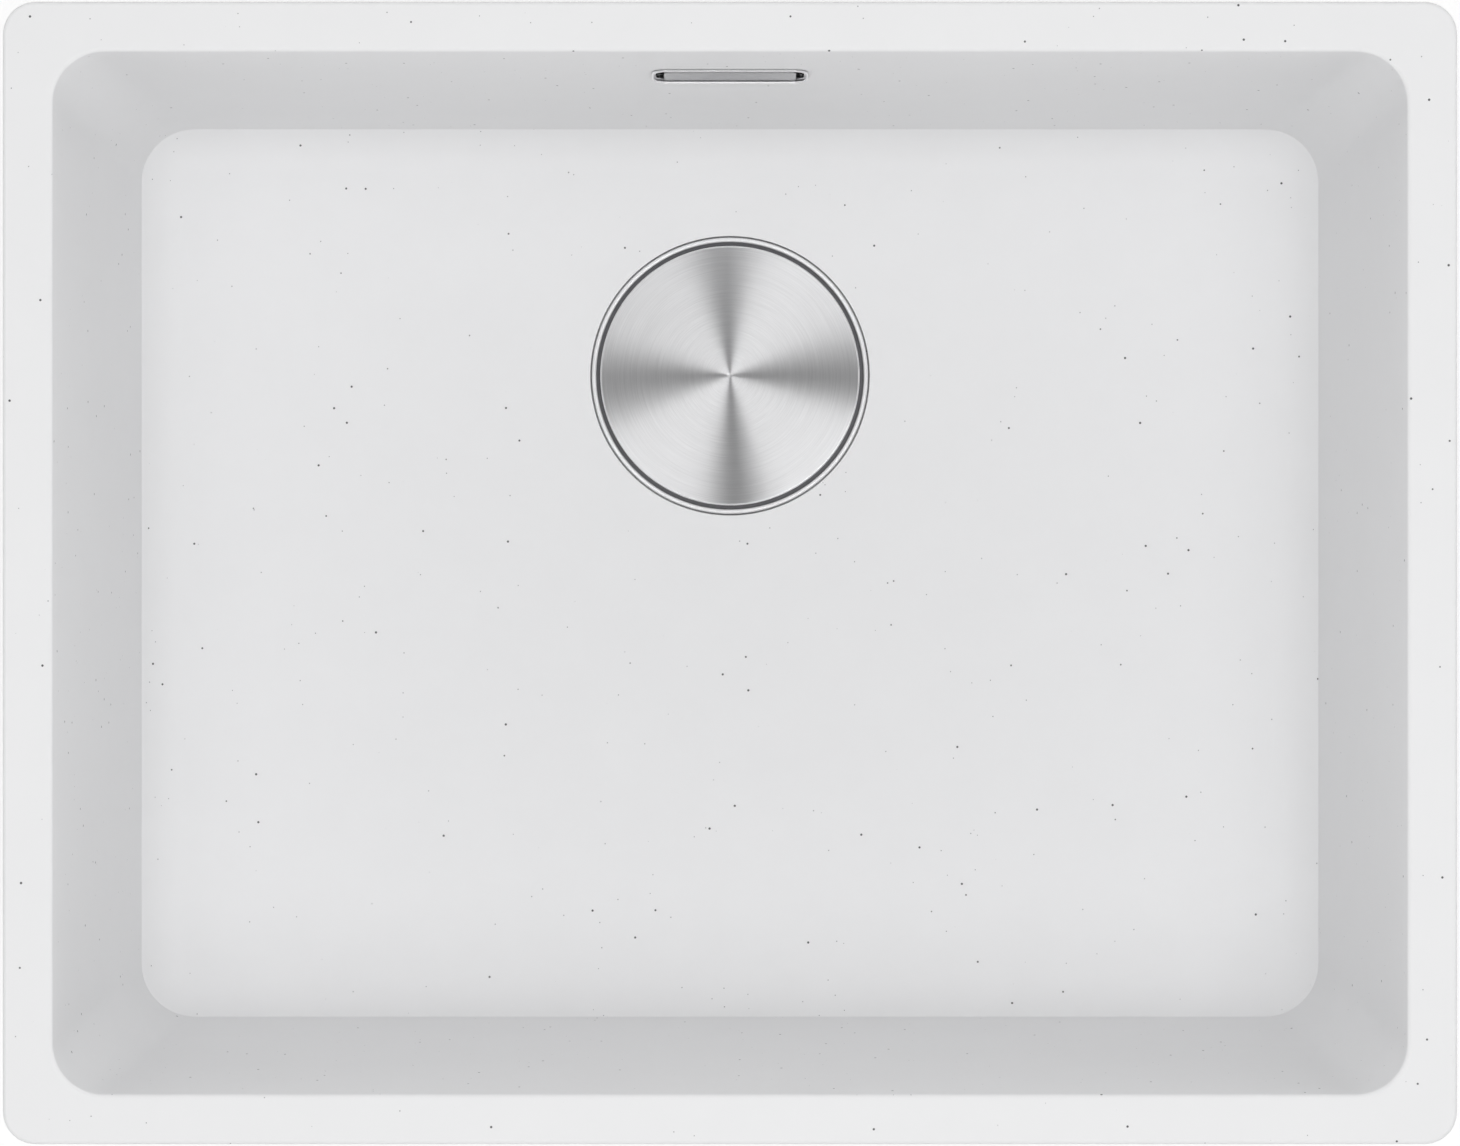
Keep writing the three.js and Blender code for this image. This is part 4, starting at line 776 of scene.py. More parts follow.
def make_cone():
    wall = 1.5 * MM
    shell = soften(turned([
        (OUTLET_BORE, OUTLET_Z),
        (OUTLET_RADIUS - 1.2 * MM, OUTLET_Z),
        (OUTLET_RADIUS - 1.2 * MM, CONE_END_Z),
        (BODY_RADIUS, CONE_NECK_Z),
        (BODY_RADIUS, CONE_TOP_Z - LIP_THICKNESS),
        (BODY_RADIUS + LIP, CONE_TOP_Z - LIP_THICKNESS),
        (BODY_RADIUS + LIP, CONE_TOP_Z),
        (BODY_BORE, CONE_TOP_Z),
        (BODY_BORE, CONE_NECK_Z + wall),
        (OUTLET_BORE, CONE_END_Z + wall),
    ], CASE_STEPS), CASE_EDGE)
    ridge = thread(OUTLET_RADIUS - 1.25 * MM, OUTLET_RADIUS, CASE_THREAD, OUTLET_Z + 0.8 * MM, 5)
    return moved(carved(shell, [ridge], "UNION"), DRAIN)


def make_spider():
    boss = soften(turned([
        (SCREW_HOLE, SPIDER_BASE_Z),
        (BOSS_RADIUS, SPIDER_BASE_Z),
        (BOSS_RADIUS, CONE_TOP_Z),
        (INSERT_RADIUS, CONE_TOP_Z),
        (INSERT_RADIUS, INSERT_SEAT_Z),
        (SCREW_HOLE, INSERT_SEAT_Z),
    ], 64), 0.4 * MM)
    height = SPIDER_TOP_Z - SPIDER_BASE_Z

    def arm(turn):
        middle = (SPIDER_ARM_MIDDLE, 0, SPIDER_BASE_Z + height / 2)
        return soften(block((*SPIDER_ARM, height), middle, turn), 0.5 * MM)

    room = turned([
        (0, SPIDER_BASE_Z - MM),
        (31 * MM, SPIDER_BASE_Z - MM),
        (BODY_BORE - 0.3 * MM, CONE_NECK_Z + 1.65 * MM),
        (BODY_BORE - 0.3 * MM, CONE_TOP_Z),
        (0, CONE_TOP_Z),
    ], CASE_STEPS)
    cross = carved(round_axis(4, arm), [room], "INTERSECT")
    return moved(carved(boss, [cross], "UNION"), DRAIN)


white_plastic = make_moulded("white_polypropylene", (0.70, 0.70, 0.69), (0.77, 0.77, 0.76))
finished(make_body(), "waste_body_moulding", "sink", "waste_body", white_plastic)
finished(make_cone(), "outlet_cone_moulding", "sink", "outlet_cone", white_plastic)
finished(make_spider(), "waste_spider_moulding", "sink", "waste_spider", white_plastic)


# Centre screw and insert
# A turned stainless screw clamps the cup to the body. It threads into a knurled brass insert in the
# spider's boss, and its hollow head is the socket that the basket's stem snaps into.

SCREW_HEAD_TOP = -248.1 * MM
SCREW_HEAD_BASE = -250.6 * MM
SCREW_HEAD_RADIUS = 8.5 * MM
SCREW_SHANK = 5.9 * MM
SCREW_SOCKET = 3.9 * MM
SCREW_END = -270.6 * MM
INSERT_OUTER = 9.2 * MM
INSERT_BASE_Z = -262.2 * MM
KNURLS = 28


def long_marks(tree, place, scale):
    """Fine marks, longest in the direction where the scale is least."""
    stretch = add_node(tree, "Mapping", Vector=place, Scale=scale)
    return add_node(tree, "TexNoise", Vector=stretch, Scale=1.0, Detail=3.0)


def make_turned_metal(name, dark, light, roughness):
    """Metal turned on a lathe: fine rings that follow its height, under a soft shine."""
    paint, tree, place = new_paint(name)
    marks = long_marks(tree, place, (60, 60, 3000))
    tone = tones(tree, marks, dark, light)
    bump = add_node(tree, "Bump", Strength=0.1, Distance=0.00005, Height=marks)
    rough = add_node(tree, "MapRange", Value=marks, To_Min=roughness - 0.05, To_Max=roughness + 0.08)
    return coated(paint, Base_Color=tone, Metallic=1.0, Roughness=rough, Normal=bump)


def make_screw():
    screw = soften(turned([
        (0, SCREW_END),
        (SCREW_SHANK - 1 * MM, SCREW_END),
        (SCREW_SHANK - 0.6 * MM, SCREW_END + 0.6 * MM),
        (SCREW_SHANK - 0.6 * MM, SCREW_HEAD_BASE),
        (SCREW_HEAD_RADIUS, SCREW_HEAD_BASE),
        (SCREW_HEAD_RADIUS, SCREW_HEAD_TOP - 0.8 * MM),
        (SCREW_HEAD_RADIUS - 0.8 * MM, SCREW_HEAD_TOP),
        (SCREW_SOCKET, SCREW_HEAD_TOP),
        (SCREW_SOCKET, SCREW_END + 2 * MM),
        (0, SCREW_END + 2 * MM),
    ], 64), 0.2 * MM)
    ridge = thread(SCREW_SHANK - 0.65 * MM, SCREW_SHANK, 1.25 * MM, SCREW_END + 0.7 * MM, 13)
    driver = block((3 * SCREW_HEAD_RADIUS, 2 * MM, 2.5 * MM), (0, 0, SCREW_HEAD_TOP))
    return moved(carved(carved(screw, [ridge], "UNION"), [driver]), DRAIN)


def make_insert():
    def groove(turn):
        middle = (INSERT_OUTER + 0.1 * MM, 0, (INSERT_BASE_Z + CONE_TOP_Z) / 2)
        return block((0.8 * MM, 0.5 * MM, 14 * MM), middle, turn)

    ring = washer(SCREW_HOLE, INSERT_OUTER, INSERT_BASE_Z, CONE_TOP_Z, 0.3 * MM, 64)
    return moved(carved(ring, [round_axis(KNURLS, groove)]), DRAIN)


turned_steel = make_turned_metal("turned_steel", grey(0.55), grey(0.68), 0.28)
brass = make_turned_metal("turned_brass", (0.60, 0.42, 0.16), (0.76, 0.57, 0.27), 0.3)
finished(make_screw(), "centre_screw_turned", "sink", "centre_screw", turned_steel)
finished(make_insert(), "centre_insert_knurled", "sink", "centre_insert", brass)


# Strainer basket
# A cup pressed from thin stainless sheet, its wall pierced with upright slots and its bottom with two rings
# of holes. A rubber stopper, a nut and a turned stem hang under it, and a moulded knob lifts it out.

BASKET_TOP = -206.9 * MM
BASKET_BASE = -236.9 * MM
BASKET_RIM = 42.2 * MM
BASKET_FOOT = 36.5 * MM
BASKET_SHEET = 0.8 * MM
BASKET_SLOTS = 24
SLOT_HALF = (1.2 * MM, 10 * MM)
SLOT_REACH = (30 * MM, 46 * MM)
SLOT_MIDDLE_Z = -221.9 * MM
BASKET_HOLES = 16
HOLE_RADIUS = 1.6 * MM
HOLE_CIRCLES = (33 * MM, 28.5 * MM)
STEM_HOLE = 2.7 * MM
KNOB_FLUTES = 14
FLUTE_RADIUS = 1.1 * MM
FLUTE_CIRCLE = 10.6 * MM


def make_pressed_steel():
    """Thin pressed stainless sheet: upright draw marks, a soft sheen and water-spot clouds."""
    paint, tree, place = new_paint("pressed_steel")
    marks = long_marks(tree, place, (1200, 1200, 60))
    spots = add_node(tree, "TexNoise", Vector=place, Scale=90.0, Detail=4.0)
    tone = tones(tree, marks, grey(0.55), grey(0.70))
    bump = add_node(tree, "Bump", Strength=0.1, Distance=0.00005, Height=marks)
    rough = add_node(tree, "MapRange", Value=spots, To_Min=0.24, To_Max=0.42)
    return coated(paint, Base_Color=tone, Metallic=1.0, Roughness=rough, Normal=bump)


def upright_slot(turn):
    """A round-ended cutter that points away from the axis."""
    corner = SLOT_HALF[0] * 0.98
    slot = lofted([
        lambda bm, out=out: rounded_loop(bm, *SLOT_HALF, corner, -out, 6) for out in reversed(SLOT_REACH)
    ])
    upright = Matrix.Rotation(math.pi / 2, 4, "X")
    return placed(slot, Matrix.Translation((0, 0, SLOT_MIDDLE_Z)) @ Matrix.Rotation(turn, 4, "Z") @ upright)


def off_axis(distance, turn):
    return Vector((distance * math.cos(turn), distance * math.sin(turn), 0))


def pin(radius, low, high, steps=20, place=(0, 0, 0)):
    """A plain upright cylinder to cut with."""
    return moved(turned([(0, low), (radius, low), (radius, high), (0, high)], steps), place)


def make_basket():
    sheet = BASKET_SHEET
    floor = BASKET_BASE + sheet
    bend = 2 * MM
    lean = math.degrees(math.atan2(BASKET_RIM - BASKET_FOOT - 2 * sheet, BASKET_TOP - BASKET_BASE))
    roll = sheet * 0.9
    shell = turned([
        (STEM_HOLE, BASKET_BASE),
        *arc((BASKET_FOOT - bend + sheet, BASKET_BASE + bend), bend, -90, -lean, 6),
        (BASKET_RIM - 2 * sheet, BASKET_TOP - 3 * sheet),
        (BASKET_RIM - sheet, BASKET_TOP - 2 * sheet),
        *arc((BASKET_RIM - roll, BASKET_TOP - roll), roll, -60, 150, 10),
        (BASKET_RIM - 3 * sheet, BASKET_TOP - sheet * 1.6),
        (BASKET_RIM - 3.2 * sheet, BASKET_TOP - 3.4 * sheet),
        *reversed(arc((BASKET_FOOT - bend + sheet, BASKET_BASE + bend), bend - sheet, -90, -lean, 6)),
        (STEM_HOLE, floor),
    ], 144)

    def holes(circle, start):
        def hole(turn):
            return pin(HOLE_RADIUS, BASKET_BASE - MM, floor + MM, place=off_axis(circle, turn))
        return round_axis(BASKET_HOLES, hole, start)

    slots = round_axis(BASKET_SLOTS, upright_slot, 0.5)
    rings = gathered([holes(circle, row / 2) for row, circle in enumerate(HOLE_CIRCLES)])
    return moved(carved(shell, [slots, rings]), DRAIN)


def make_stopper():
    top = -237.2 * MM
    low = -250.6 * MM
    thick = 2.4 * MM
    return moved(soften(turned([
        (STEM_HOLE, top - thick),
        (9.5 * MM, top - thick),
        *arc((19.5 * MM, low + 9.5 * MM), 7 * MM, 195, 268, 6),
        (22.4 * MM, low),
        (26 * MM, low),
        (26 * MM, low + thick / 2),
        (24.8 * MM, low + thick),
        *arc((20 * MM, low + 11 * MM), 6 * MM, 280, 190, 6),
        (11.9 * MM, top),
        (STEM_HOLE, top),
    ], 128), 0.35 * MM, least=40), DRAIN)


def make_stem():
    radius, groove, collar = 2.4 * MM, 1.92 * MM, 6.5 * MM
    tip, top = -256.8 * MM, -216.1 * MM
    groove_low, groove_top = -254.7 * MM, -248.1 * MM
    collar_low, collar_top = -235.8 * MM, -233.8 * MM
    return moved(soften(turned([
        (0, tip),
        (1.2 * MM, tip),
        (radius, groove_low),
        (groove, groove_low),
        (groove, groove_top),
        (radius, groove_top),
        (radius, collar_low),
        (collar, collar_low),
        (collar, collar_top),
        (radius, collar_top),
        (radius, top),
        (0, top),
    ], 48), 0.15 * MM), DRAIN)


def make_nut():
    nut = soften(pin(4.6 * MM, -242.9 * MM, -239.9 * MM, 6), 0.25 * MM, least=50)
    bore = pin(STEM_HOLE, -244 * MM, -239 * MM, 32)
    return moved(carved(nut, [bore]), DRAIN)


def make_clip():
    inner, outer = 2.22 * MM, 3.3 * MM
    top, low = -248.4 * MM, -254.4 * MM
    sleeve = turned([
        (inner, low),
        (inner + 0.45 * MM, low),
        *arc((inner + 0.2 * MM, (top + low) / 2), outer - inner - 0.2 * MM, -60, 60, 6),
        (inner + 0.45 * MM, top),
        (inner, top),
    ], 48)
    splits = [
        block((6 * MM, 0.7 * MM, 4.6 * MM), (3 * MM, 0, low + 1.8 * MM), math.tau * n / 4) for n in (1, 2, 3)
    ]
    through = block((6 * MM, 1 * MM, 12 * MM), (3.5 * MM, 0, (top + low) / 2))
    return moved(carved(sleeve, [gathered(splits), through]), DRAIN)


def make_knob():
    base, top = -233.5 * MM, -210.5 * MM
    shoulder = top - 5 * MM
    knob = turned([
        (STEM_HOLE, base),
        (6 * MM, base),
        *arc((6.25 * MM + 1 * MM, base + 1.25 * MM), 2.25 * MM, 200, 180, 3),
        (5 * MM, shoulder - 3 * MM),
        *arc((8 * MM, shoulder - 3 * MM), 3 * MM, 180, 100, 5),
        *arc((8.6 * MM, shoulder + 1.4 * MM), 1.4 * MM, -80, 0, 5),
        *arc((8.2 * MM, top - 1.8 * MM), 1.8 * MM, 0, 82, 6),
        (4 * MM, top - 0.05 * MM),
        (0, top),
        (0, shoulder - 0.3 * MM),
        (STEM_HOLE, shoulder - 0.3 * MM),
    ], 96)

    def flute(turn):
        return pin(FLUTE_RADIUS, shoulder - MM, top + MM, place=off_axis(FLUTE_CIRCLE, turn))

    return moved(carved(knob, [round_axis(KNOB_FLUTES, flute)]), DRAIN)


pressed_steel = make_pressed_steel()
grey_plastic = make_moulded("grey_acetal", (0.27, 0.28, 0.29), (0.34, 0.35, 0.36))
for name, node, made, slot, look in (
    ("basket_shell_pressing", "basket_shell", make_basket(), "brushed_steel", pressed_steel),
    ("basket_stopper_rubber", "basket_stopper", make_stopper(), "rubber", rubber),
    ("basket_stem_turned", "basket_stem", make_stem(), "brushed_steel", turned_steel),
    ("basket_nut_hexagon", "basket_nut", make_nut(), "brass", brass),
    ("basket_clip_sleeve", "basket_clip", make_clip(), "brushed_steel", turned_steel),
    ("basket_knob_moulding", "basket_knob", make_knob(), "grey_plastic", grey_plastic),
):
    finished(made, name, "basket", node, look)


# Cover
# A disc of stainless sheet pressed to a slight crown, its edge turned down. The top is brushed on a lathe,
# so the marks run in circles and the light gathers in spokes; the brush leaves a small dimple in the middle.

COVER_RADIUS = 53.6 * MM
COVER_EDGE_Z = PAN_Z + 1 * MM
COVER_DOME = 1 * MM
COVER_SHEET = 1.4 * MM
COVER_SKIRT_Z = COVER_EDGE_Z - 1.6 * MM
COVER_EDGE_ROUND = 0.7 * MM
MARKS_ACROSS = 2600.0
MARKS_ALONG = 1.6


def make_round_brushed():
    """Stainless brushed in circles about the waste's axis."""
    paint, tree, place = new_paint("circle_brushed_steel")
    spoke = add_node(tree, "VectorMath", "SUBTRACT", i0=place, i1=tuple(DRAIN))
    flat = add_node(tree, "VectorMath", "MULTIPLY", i0=spoke, i1=(1, 1, 0))
    radius = add_node(tree, "VectorMath", "LENGTH", i0=flat).outputs["Value"]
    outward = add_node(tree, "VectorMath", "NORMALIZE", i0=flat)
    parts = add_node(tree, "SeparateXYZ", Vector=outward).outputs
    across = add_node(tree, "Math", "MULTIPLY", i0=radius, i1=MARKS_ACROSS)
    along_x, along_y = [add_node(tree, "Math", "MULTIPLY", i0=parts[axis], i1=MARKS_ALONG) for axis in "XY"]
    wound = add_node(tree, "CombineXYZ", X=across, Y=along_x, Z=along_y)
    marks = add_node(tree, "TexNoise", Vector=wound, Scale=1.0, Detail=3.0, Roughness=0.7)
    tone = tones(tree, marks, grey(0.78), grey(0.92), 0.25, 0.75)
    bump = add_node(tree, "Bump", Strength=0.12, Distance=0.00005, Height=marks)
    return coated(paint, Base_Color=tone, Metallic=1.0, Roughness=0.28, Anisotropic=1.0, Normal=bump,
                  Tangent=outward)


def make_cover():
    def crown(radius):
        return COVER_EDGE_Z + COVER_DOME * (1 - (radius / COVER_RADIUS) ** 2)

    dimple = 0.8 * MM
    edge = COVER_EDGE_ROUND
    stations = [COVER_RADIUS * share for share in (0.1, 0.2, 0.3, 0.4, 0.5, 0.6, 0.7, 0.8, 0.9, 0.96)]
    under = [(r, crown(r) - COVER_SHEET) for r in stations]
    over = [(r, crown(r)) for r in reversed(stations)]
    return moved(turned([
        (0, crown(0) - COVER_SHEET),
        *under,
        (COVER_RADIUS - COVER_SHEET, crown(COVER_RADIUS - COVER_SHEET) - COVER_SHEET),
        (COVER_RADIUS - COVER_SHEET, COVER_SKIRT_Z + 0.2 * MM),
        *arc((COVER_RADIUS - COVER_SHEET / 2, COVER_SKIRT_Z + COVER_SHEET / 2), COVER_SHEET / 2, 200, 360, 6),
        *arc((COVER_RADIUS - edge, COVER_EDGE_Z - edge), edge, 0, 88, 6),
        *over,
        (2 * dimple, crown(0)),
        (dimple, crown(0) - 0.02 * MM),
        (dimple * 0.5, crown(0) - 0.25 * MM),
        (0, crown(0) - 0.35 * MM),
    ], 192), DRAIN)


round_brushed = make_round_brushed()
cover = finished(make_cover(), "cover_pressing", "cover", "cover_disc", round_brushed)
edge_start = COVER_RADIUS - COVER_EDGE_ROUND
# The upward faces of the cover's rolled edge get a brighter, smooth steel: a painted highlight along the
# edge.
paint_faces(cover, painted_highlight_steel, lambda face: from_drain(face) > edge_start and face.normal.z > 0)


# Cover feet
# Three buttons of black rubber, glued under the cover. They stand on the cup's flange and keep the disc
# clear of it, so that water runs in all round the edge.

FOOT_CIRCLE = 49.4 * MM
FOOT_LOW = -202.6 * MM
FOOT_HIGH = -200.7 * MM

for number in range(3):
    turn = math.tau * number / 3 + math.pi / 2
    button = turned([
        (0, FOOT_LOW),
        *arc((2.4 * MM, FOOT_LOW + 0.6 * MM), 0.6 * MM, -90, 0, 5),
        (3 * MM, FOOT_HIGH),
        (0, FOOT_HIGH),
    ], 40)
    name = f"cover_foot_{number + 1}"
    place = DRAIN + off_axis(FOOT_CIRCLE, turn)
    finished(moved(button, place), f"{name}_button", "cover", name, rubber)


# Overflow surround and its screws
# A frame die-cast in zinc and polished bright, with a sleeve through the back wall. Its front slopes out to
# an undercut lip below the plate. Two bars inside take the screws for the elbow, and the plate's posts.

FRAME_HALF = (30.5 * MM, 10.2 * MM)
FRAME_CORNER = 6.4 * MM
FRAME_LIP = 1.6 * MM
FRAME_FRONT = -2 * MM
SLEEVE_WALL = 0.7 * MM
SLEEVE_END = 7.2 * MM
BAR_X = 18 * MM
BAR_FACE = 1.5 * MM
BAR_SIZE = (8 * MM, 3 * MM)
SCREW_WAY = 1.9 * MM
POST_WAY = 1.7 * MM
FIXING_Z = -4 * MM
FRAME_SEAT = -0.3 * MM
UNDERCUT = 1 * MM
FRAME_LIP_DEPTH = 0.5 * MM
LOW_REACH = 1.24
HIGH_REACH = 0.36


def rounded_end(length, height, corner, edge, steps, out, way=1):
    """Outlines round the edge of a plate, from its face at a distance out from the wall."""
    return [
        (length - edge * inset, height - edge * inset, corner - edge * inset, out + way * edge * drop)
        for inset, drop in quarter(steps)
    ]


def grown(outline, by):
    return [size + by for size in outline]


def make_frame():
    (length, height), lip = FRAME_HALF, FRAME_LIP / 2
    inner = grown((length, height, FRAME_CORNER), -FRAME_LIP)
    mouth_edge = grown(inner, lip)
    rim = wall_body(
        *rounded_end(length, height, FRAME_CORNER, lip, 5, FRAME_FRONT),
        (length, height, FRAME_CORNER, FRAME_SEAT),
    )
    sleeve = wall_body(*[(*grown(inner, SLEEVE_WALL), out) for out in (-1 * MM, SLEEVE_END)])
    mouth = wall_body(
        (*mouth_edge, FRAME_FRONT - 1 * MM),
        *rounded_end(*mouth_edge, lip, 5, FRAME_FRONT + lip, -1),
        (*inner, FRAME_FRONT + lip + 0.1 * MM),
        (*inner, SLEEVE_END + 1 * MM),
    )
    groove = wall_body(*[
        (*grown(inner, UNDERCUT), out) for out in (FRAME_FRONT + FRAME_LIP_DEPTH, FRAME_SEAT - 0.3 * MM)
    ])
    shell = carved(carved(carved(rim, [sleeve], "UNION"), [mouth]), [groove])
    for vert in shell.verts:
        if vert.co.y < FRAME_SEAT:
            rise = (vert.co.z + height) / (2 * height)
            reach = LOW_REACH + (HIGH_REACH - LOW_REACH) * rise
            vert.co.y = FRAME_SEAT + (vert.co.y - FRAME_SEAT) * reach
    bars = []
    for x in (-BAR_X, BAR_X):
        size = (*BAR_SIZE, 2 * inner[1] + SLEEVE_WALL)
        bar = soften(block(size, (x, BAR_FACE + BAR_SIZE[1] / 2, 0)), 0.3 * MM)
        bars.append(carved(bar, [
            bar_along_y(SCREW_WAY, 0, 9 * MM, FIXING_Z, x, 24),
            bar_along_y(POST_WAY, 0, 9 * MM, -FIXING_Z, x, 24),
        ]))
    return at_overflow(carved(shell, [gathered(bars)], "UNION"))


def before_wall(face):
    """How far a face of the overflow stands before the back wall."""
    return (face.center - Vector((0, OVERFLOW_Y, OVERFLOW_Z))).dot((0, -math.cos(DRAFT), math.sin(DRAFT)))


def on_top(face):
    return face.normal.z > 0.3 and face.center.z > OVERFLOW_Z


def on_low_lip(face):
    lip_back = -FRAME_SEAT - (FRAME_FRONT + FRAME_LIP_DEPTH - FRAME_SEAT) * LOW_REACH
    return face.normal.z > 0.3 and face.center.z < OVERFLOW_Z and before_wall(face) > lip_back


def make_fixing_screw(x):
    crown, seat, tip = -0.2 * MM, 1.2 * MM, 15.6 * MM
    shank = 1.3 * MM
    head = turned([
        (0, crown),
        (1.8 * MM, crown),
        *arc((1.8 * MM, 1.0 * MM), 1.2 * MM, -80, 0, 6),
        (3 * MM, seat),
        (shank, seat),
        (shank, 14.2 * MM),
        (0.3 * MM, tip),
        (0, tip),
    ], 40)
    ridge = thread(1.25 * MM, 1.6 * MM, 0.9 * MM, 2.4 * MM, 12)
    recess = [block((3.2 * MM, 0.7 * MM, 1.6 * MM), (0, 0, -0.4 * MM), math.pi / 2 * n) for n in range(2)]
    return at_overflow(turned_back(carved(carved(head, [ridge], "UNION"), recess), x, FIXING_Z))


frame_casting = finished(
    make_frame(), "overflow_frame_casting", "sink", "overflow_frame", polished_steel
)
# Faces of the frame that face out of the wall, and its upper faces, get a brighter copy of its steel: painted
# highlights.
paint_faces(frame_casting, painted_highlight_steel, lambda face: face.normal.y < -0.25 or on_top(face))
# The low lip's upward faces get the near-white part-diffuse steel: a painted highlight along the lip.
paint_faces(frame_casting, white_highlight_steel, on_low_lip)
for side, x in (("left", -BAR_X), ("right", BAR_X)):
    name = f"overflow_screw_{side}"
    finished(make_fixing_screw(x), f"{name}_turned", "sink", name, turned_steel)


# Overflow plate
# A bright plate of stainless, brushed lengthwise, that hides the screws. Two posts riveted to its back push
# into the surround's bars; water passes above and below it and at its ends.

PLATE_HALF = (25.7 * MM, 8.2 * MM)
PLATE_CORNER = 2.2 * MM
PLATE_FACE = -1.3 * MM
PLATE_THICKNESS = 0.8 * MM
POST_RADIUS = 1.4 * MM
POST_TIP_RADIUS = 1.1 * MM
POST_TIP = 6 * MM


def make_long_brushed():
    """Stainless brushed lengthwise, along X."""
    paint, tree, place = new_paint("long_brushed_steel")
    marks = long_marks(tree, place, (40, 4000, 4000))
    tone = tones(tree, marks, grey(0.48), grey(0.62))
    bump = add_node(tree, "Bump", Strength=0.12, Distance=0.00004, Height=marks)
    along = add_node(tree, "CombineXYZ", X=0.0, Y=0.1, Z=1.0)
    return coated(paint, Base_Color=tone, Metallic=1.0, Roughness=0.34, Anisotropic=0.6, Normal=bump,
                  Tangent=along)


def make_plate():
    length, height = PLATE_HALF
    edge = 0.25 * MM
    face = wall_body(
        *rounded_end(length, height, PLATE_CORNER, edge, 3, PLATE_FACE),
        (length, height, PLATE_CORNER, PLATE_FACE + PLATE_THICKNESS),
    )
    root = PLATE_FACE + PLATE_THICKNESS / 2
    posts = gathered([
        bar_along_y(POST_RADIUS, root, POST_TIP, -FIXING_Z, x, 24, end_radius=POST_TIP_RADIUS)
        for x in (-BAR_X, BAR_X)
    ])
    return at_overflow(carved(face, [posts], "UNION"))


long_brushed = make_long_brushed()
finished(
    make_plate(), "overflow_plate_brushed", "overflow_cover", "overflow_plate", long_brushed
)


# Overflow elbow and gasket
# A white polypropylene box behind the back wall, with a rubber gasket before it. Its mouth catches the
# overflow and its funnel leads down to a spigot for the pipe; two screw bosses stand inside.

MOUTH_HALF = (29.9 * MM, 9.6 * MM)
MOUTH_CORNER = 5.8 * MM
ELBOW_MARGIN = 5.5 * MM
ELBOW_FACE = 10.1 * MM
ELBOW_PLATE = 2.2 * MM
ELBOW_BACK = 19.7 * MM
ELBOW_WALL = 1.6 * MM
WEB_SIZE = (1.4 * MM, 5 * MM, 4.5 * MM)
WEB_X = 20 * MM
ELBOW_BOSS = 3.4 * MM
FUNNEL_TOP = -9.6 * MM
FUNNEL_END = -30.6 * MM
SPIGOT_END = -46.3 * MM
SPIGOT_RADIUS = 6.2 * MM
SPIGOT_BORE = 5 * MM
PIPE_OUT = 17.4 * MM


def mouth_body(grow, near, far, edge=0):
    """The mouth's outline grown all round, between two distances out through the wall."""
    outline = grown((*MOUTH_HALF, MOUTH_CORNER), grow)
    ends = rounded_end(*outline, edge, 4, far, -1) if edge else [(*outline, far)]
    return wall_body((*outline, near), *ends)


def make_funnel(wall):
    """From the box's full width down to the round spigot."""
    near, far = ELBOW_FACE + ELBOW_WALL - wall, ELBOW_BACK - ELBOW_WALL + wall
    half, middle = (far - near) / 2, (far + near) / 2
    radius = SPIGOT_RADIUS if wall else SPIGOT_BORE
    end = SPIGOT_END - (0 if wall else 1 * MM)
    length = MOUTH_HALF[0] - ELBOW_WALL

    def station(half_length, half_depth, corner, y, z):
        def draw(bm):
            before = set(bm.verts)
            edges = rounded_loop(bm, half_length, half_depth, corner, z, 8)
            bmesh.ops.translate(bm, verts=[v for v in bm.verts if v not in before], vec=(0, y, 0))
            return edges
        return draw

    def between(share):
        ease = share * share * (3 - 2 * share)
        half_length = radius + (length + wall - radius) * ease
        half_depth = radius + (half - radius) * ease
        corner = min(half_depth, half_length) * (0.999 - 0.4 * ease)
        return station(half_length, half_depth, corner, PIPE_OUT + (middle - PIPE_OUT) * ease,
                       FUNNEL_END + (FUNNEL_TOP - FUNNEL_END) * share)

    return lofted([
        station(radius, radius, radius * 0.999, PIPE_OUT, end),
        *[between(step / 10) for step in range(11)],
        station(length + wall, half, half * 0.6, middle, FUNNEL_TOP + ELBOW_WALL),
    ])


def make_elbow():
    edge = 0.6 * MM
    flange = mouth_body(ELBOW_MARGIN, ELBOW_FACE, ELBOW_FACE + ELBOW_PLATE, edge)
    box = mouth_body(ELBOW_WALL, ELBOW_FACE, ELBOW_BACK, 1.2 * MM)
    outside = carved(flange, [box, make_funnel(ELBOW_WALL)], "UNION")
    webs = gathered([
        soften(block(WEB_SIZE, (x, ELBOW_FACE + 3.5 * MM, MOUTH_HALF[1] + 2.6 * MM)), 0.3 * MM)
        for x in (-WEB_X, 0, WEB_X)
    ])
    outside = carved(outside, [webs], "UNION")
    hollow = carved(outside, [mouth_body(0, ELBOW_FACE - MM, ELBOW_BACK - ELBOW_WALL), make_funnel(0)])
    bosses = gathered([
        carved(bar_along_y(ELBOW_BOSS, ELBOW_FACE + 0.3 * MM, ELBOW_BACK - 0.8 * MM, FIXING_Z, x, 32), [
            bar_along_y(SCREW_WAY, ELBOW_FACE - MM, ELBOW_BACK - 2.4 * MM, FIXING_Z, x, 24),
        ])
        for x in (-BAR_X, BAR_X)
    ])
    return at_overflow(carved(hollow, [bosses], "UNION"))


def make_overflow_gasket():
    outline = mouth_body(ELBOW_MARGIN, 8.3 * MM, 9.8 * MM, 0.3 * MM)
    return at_overflow(carved(outline, [mouth_body(0, 7 * MM, 11 * MM)]))


finished(make_overflow_gasket(), "overflow_gasket_rubber", "sink", "overflow_gasket", rubber)
finished(make_elbow(), "overflow_elbow_moulding", "sink", "overflow_elbow", white_plastic)


# Ribbed overflow pipe
# A blow-moulded polyethylene pipe, white, ribbed so that it bends. A plain cuff pushes over the elbow's
# spigot, the pipe goes down along the back wall, and its collared end is held by the union nut.

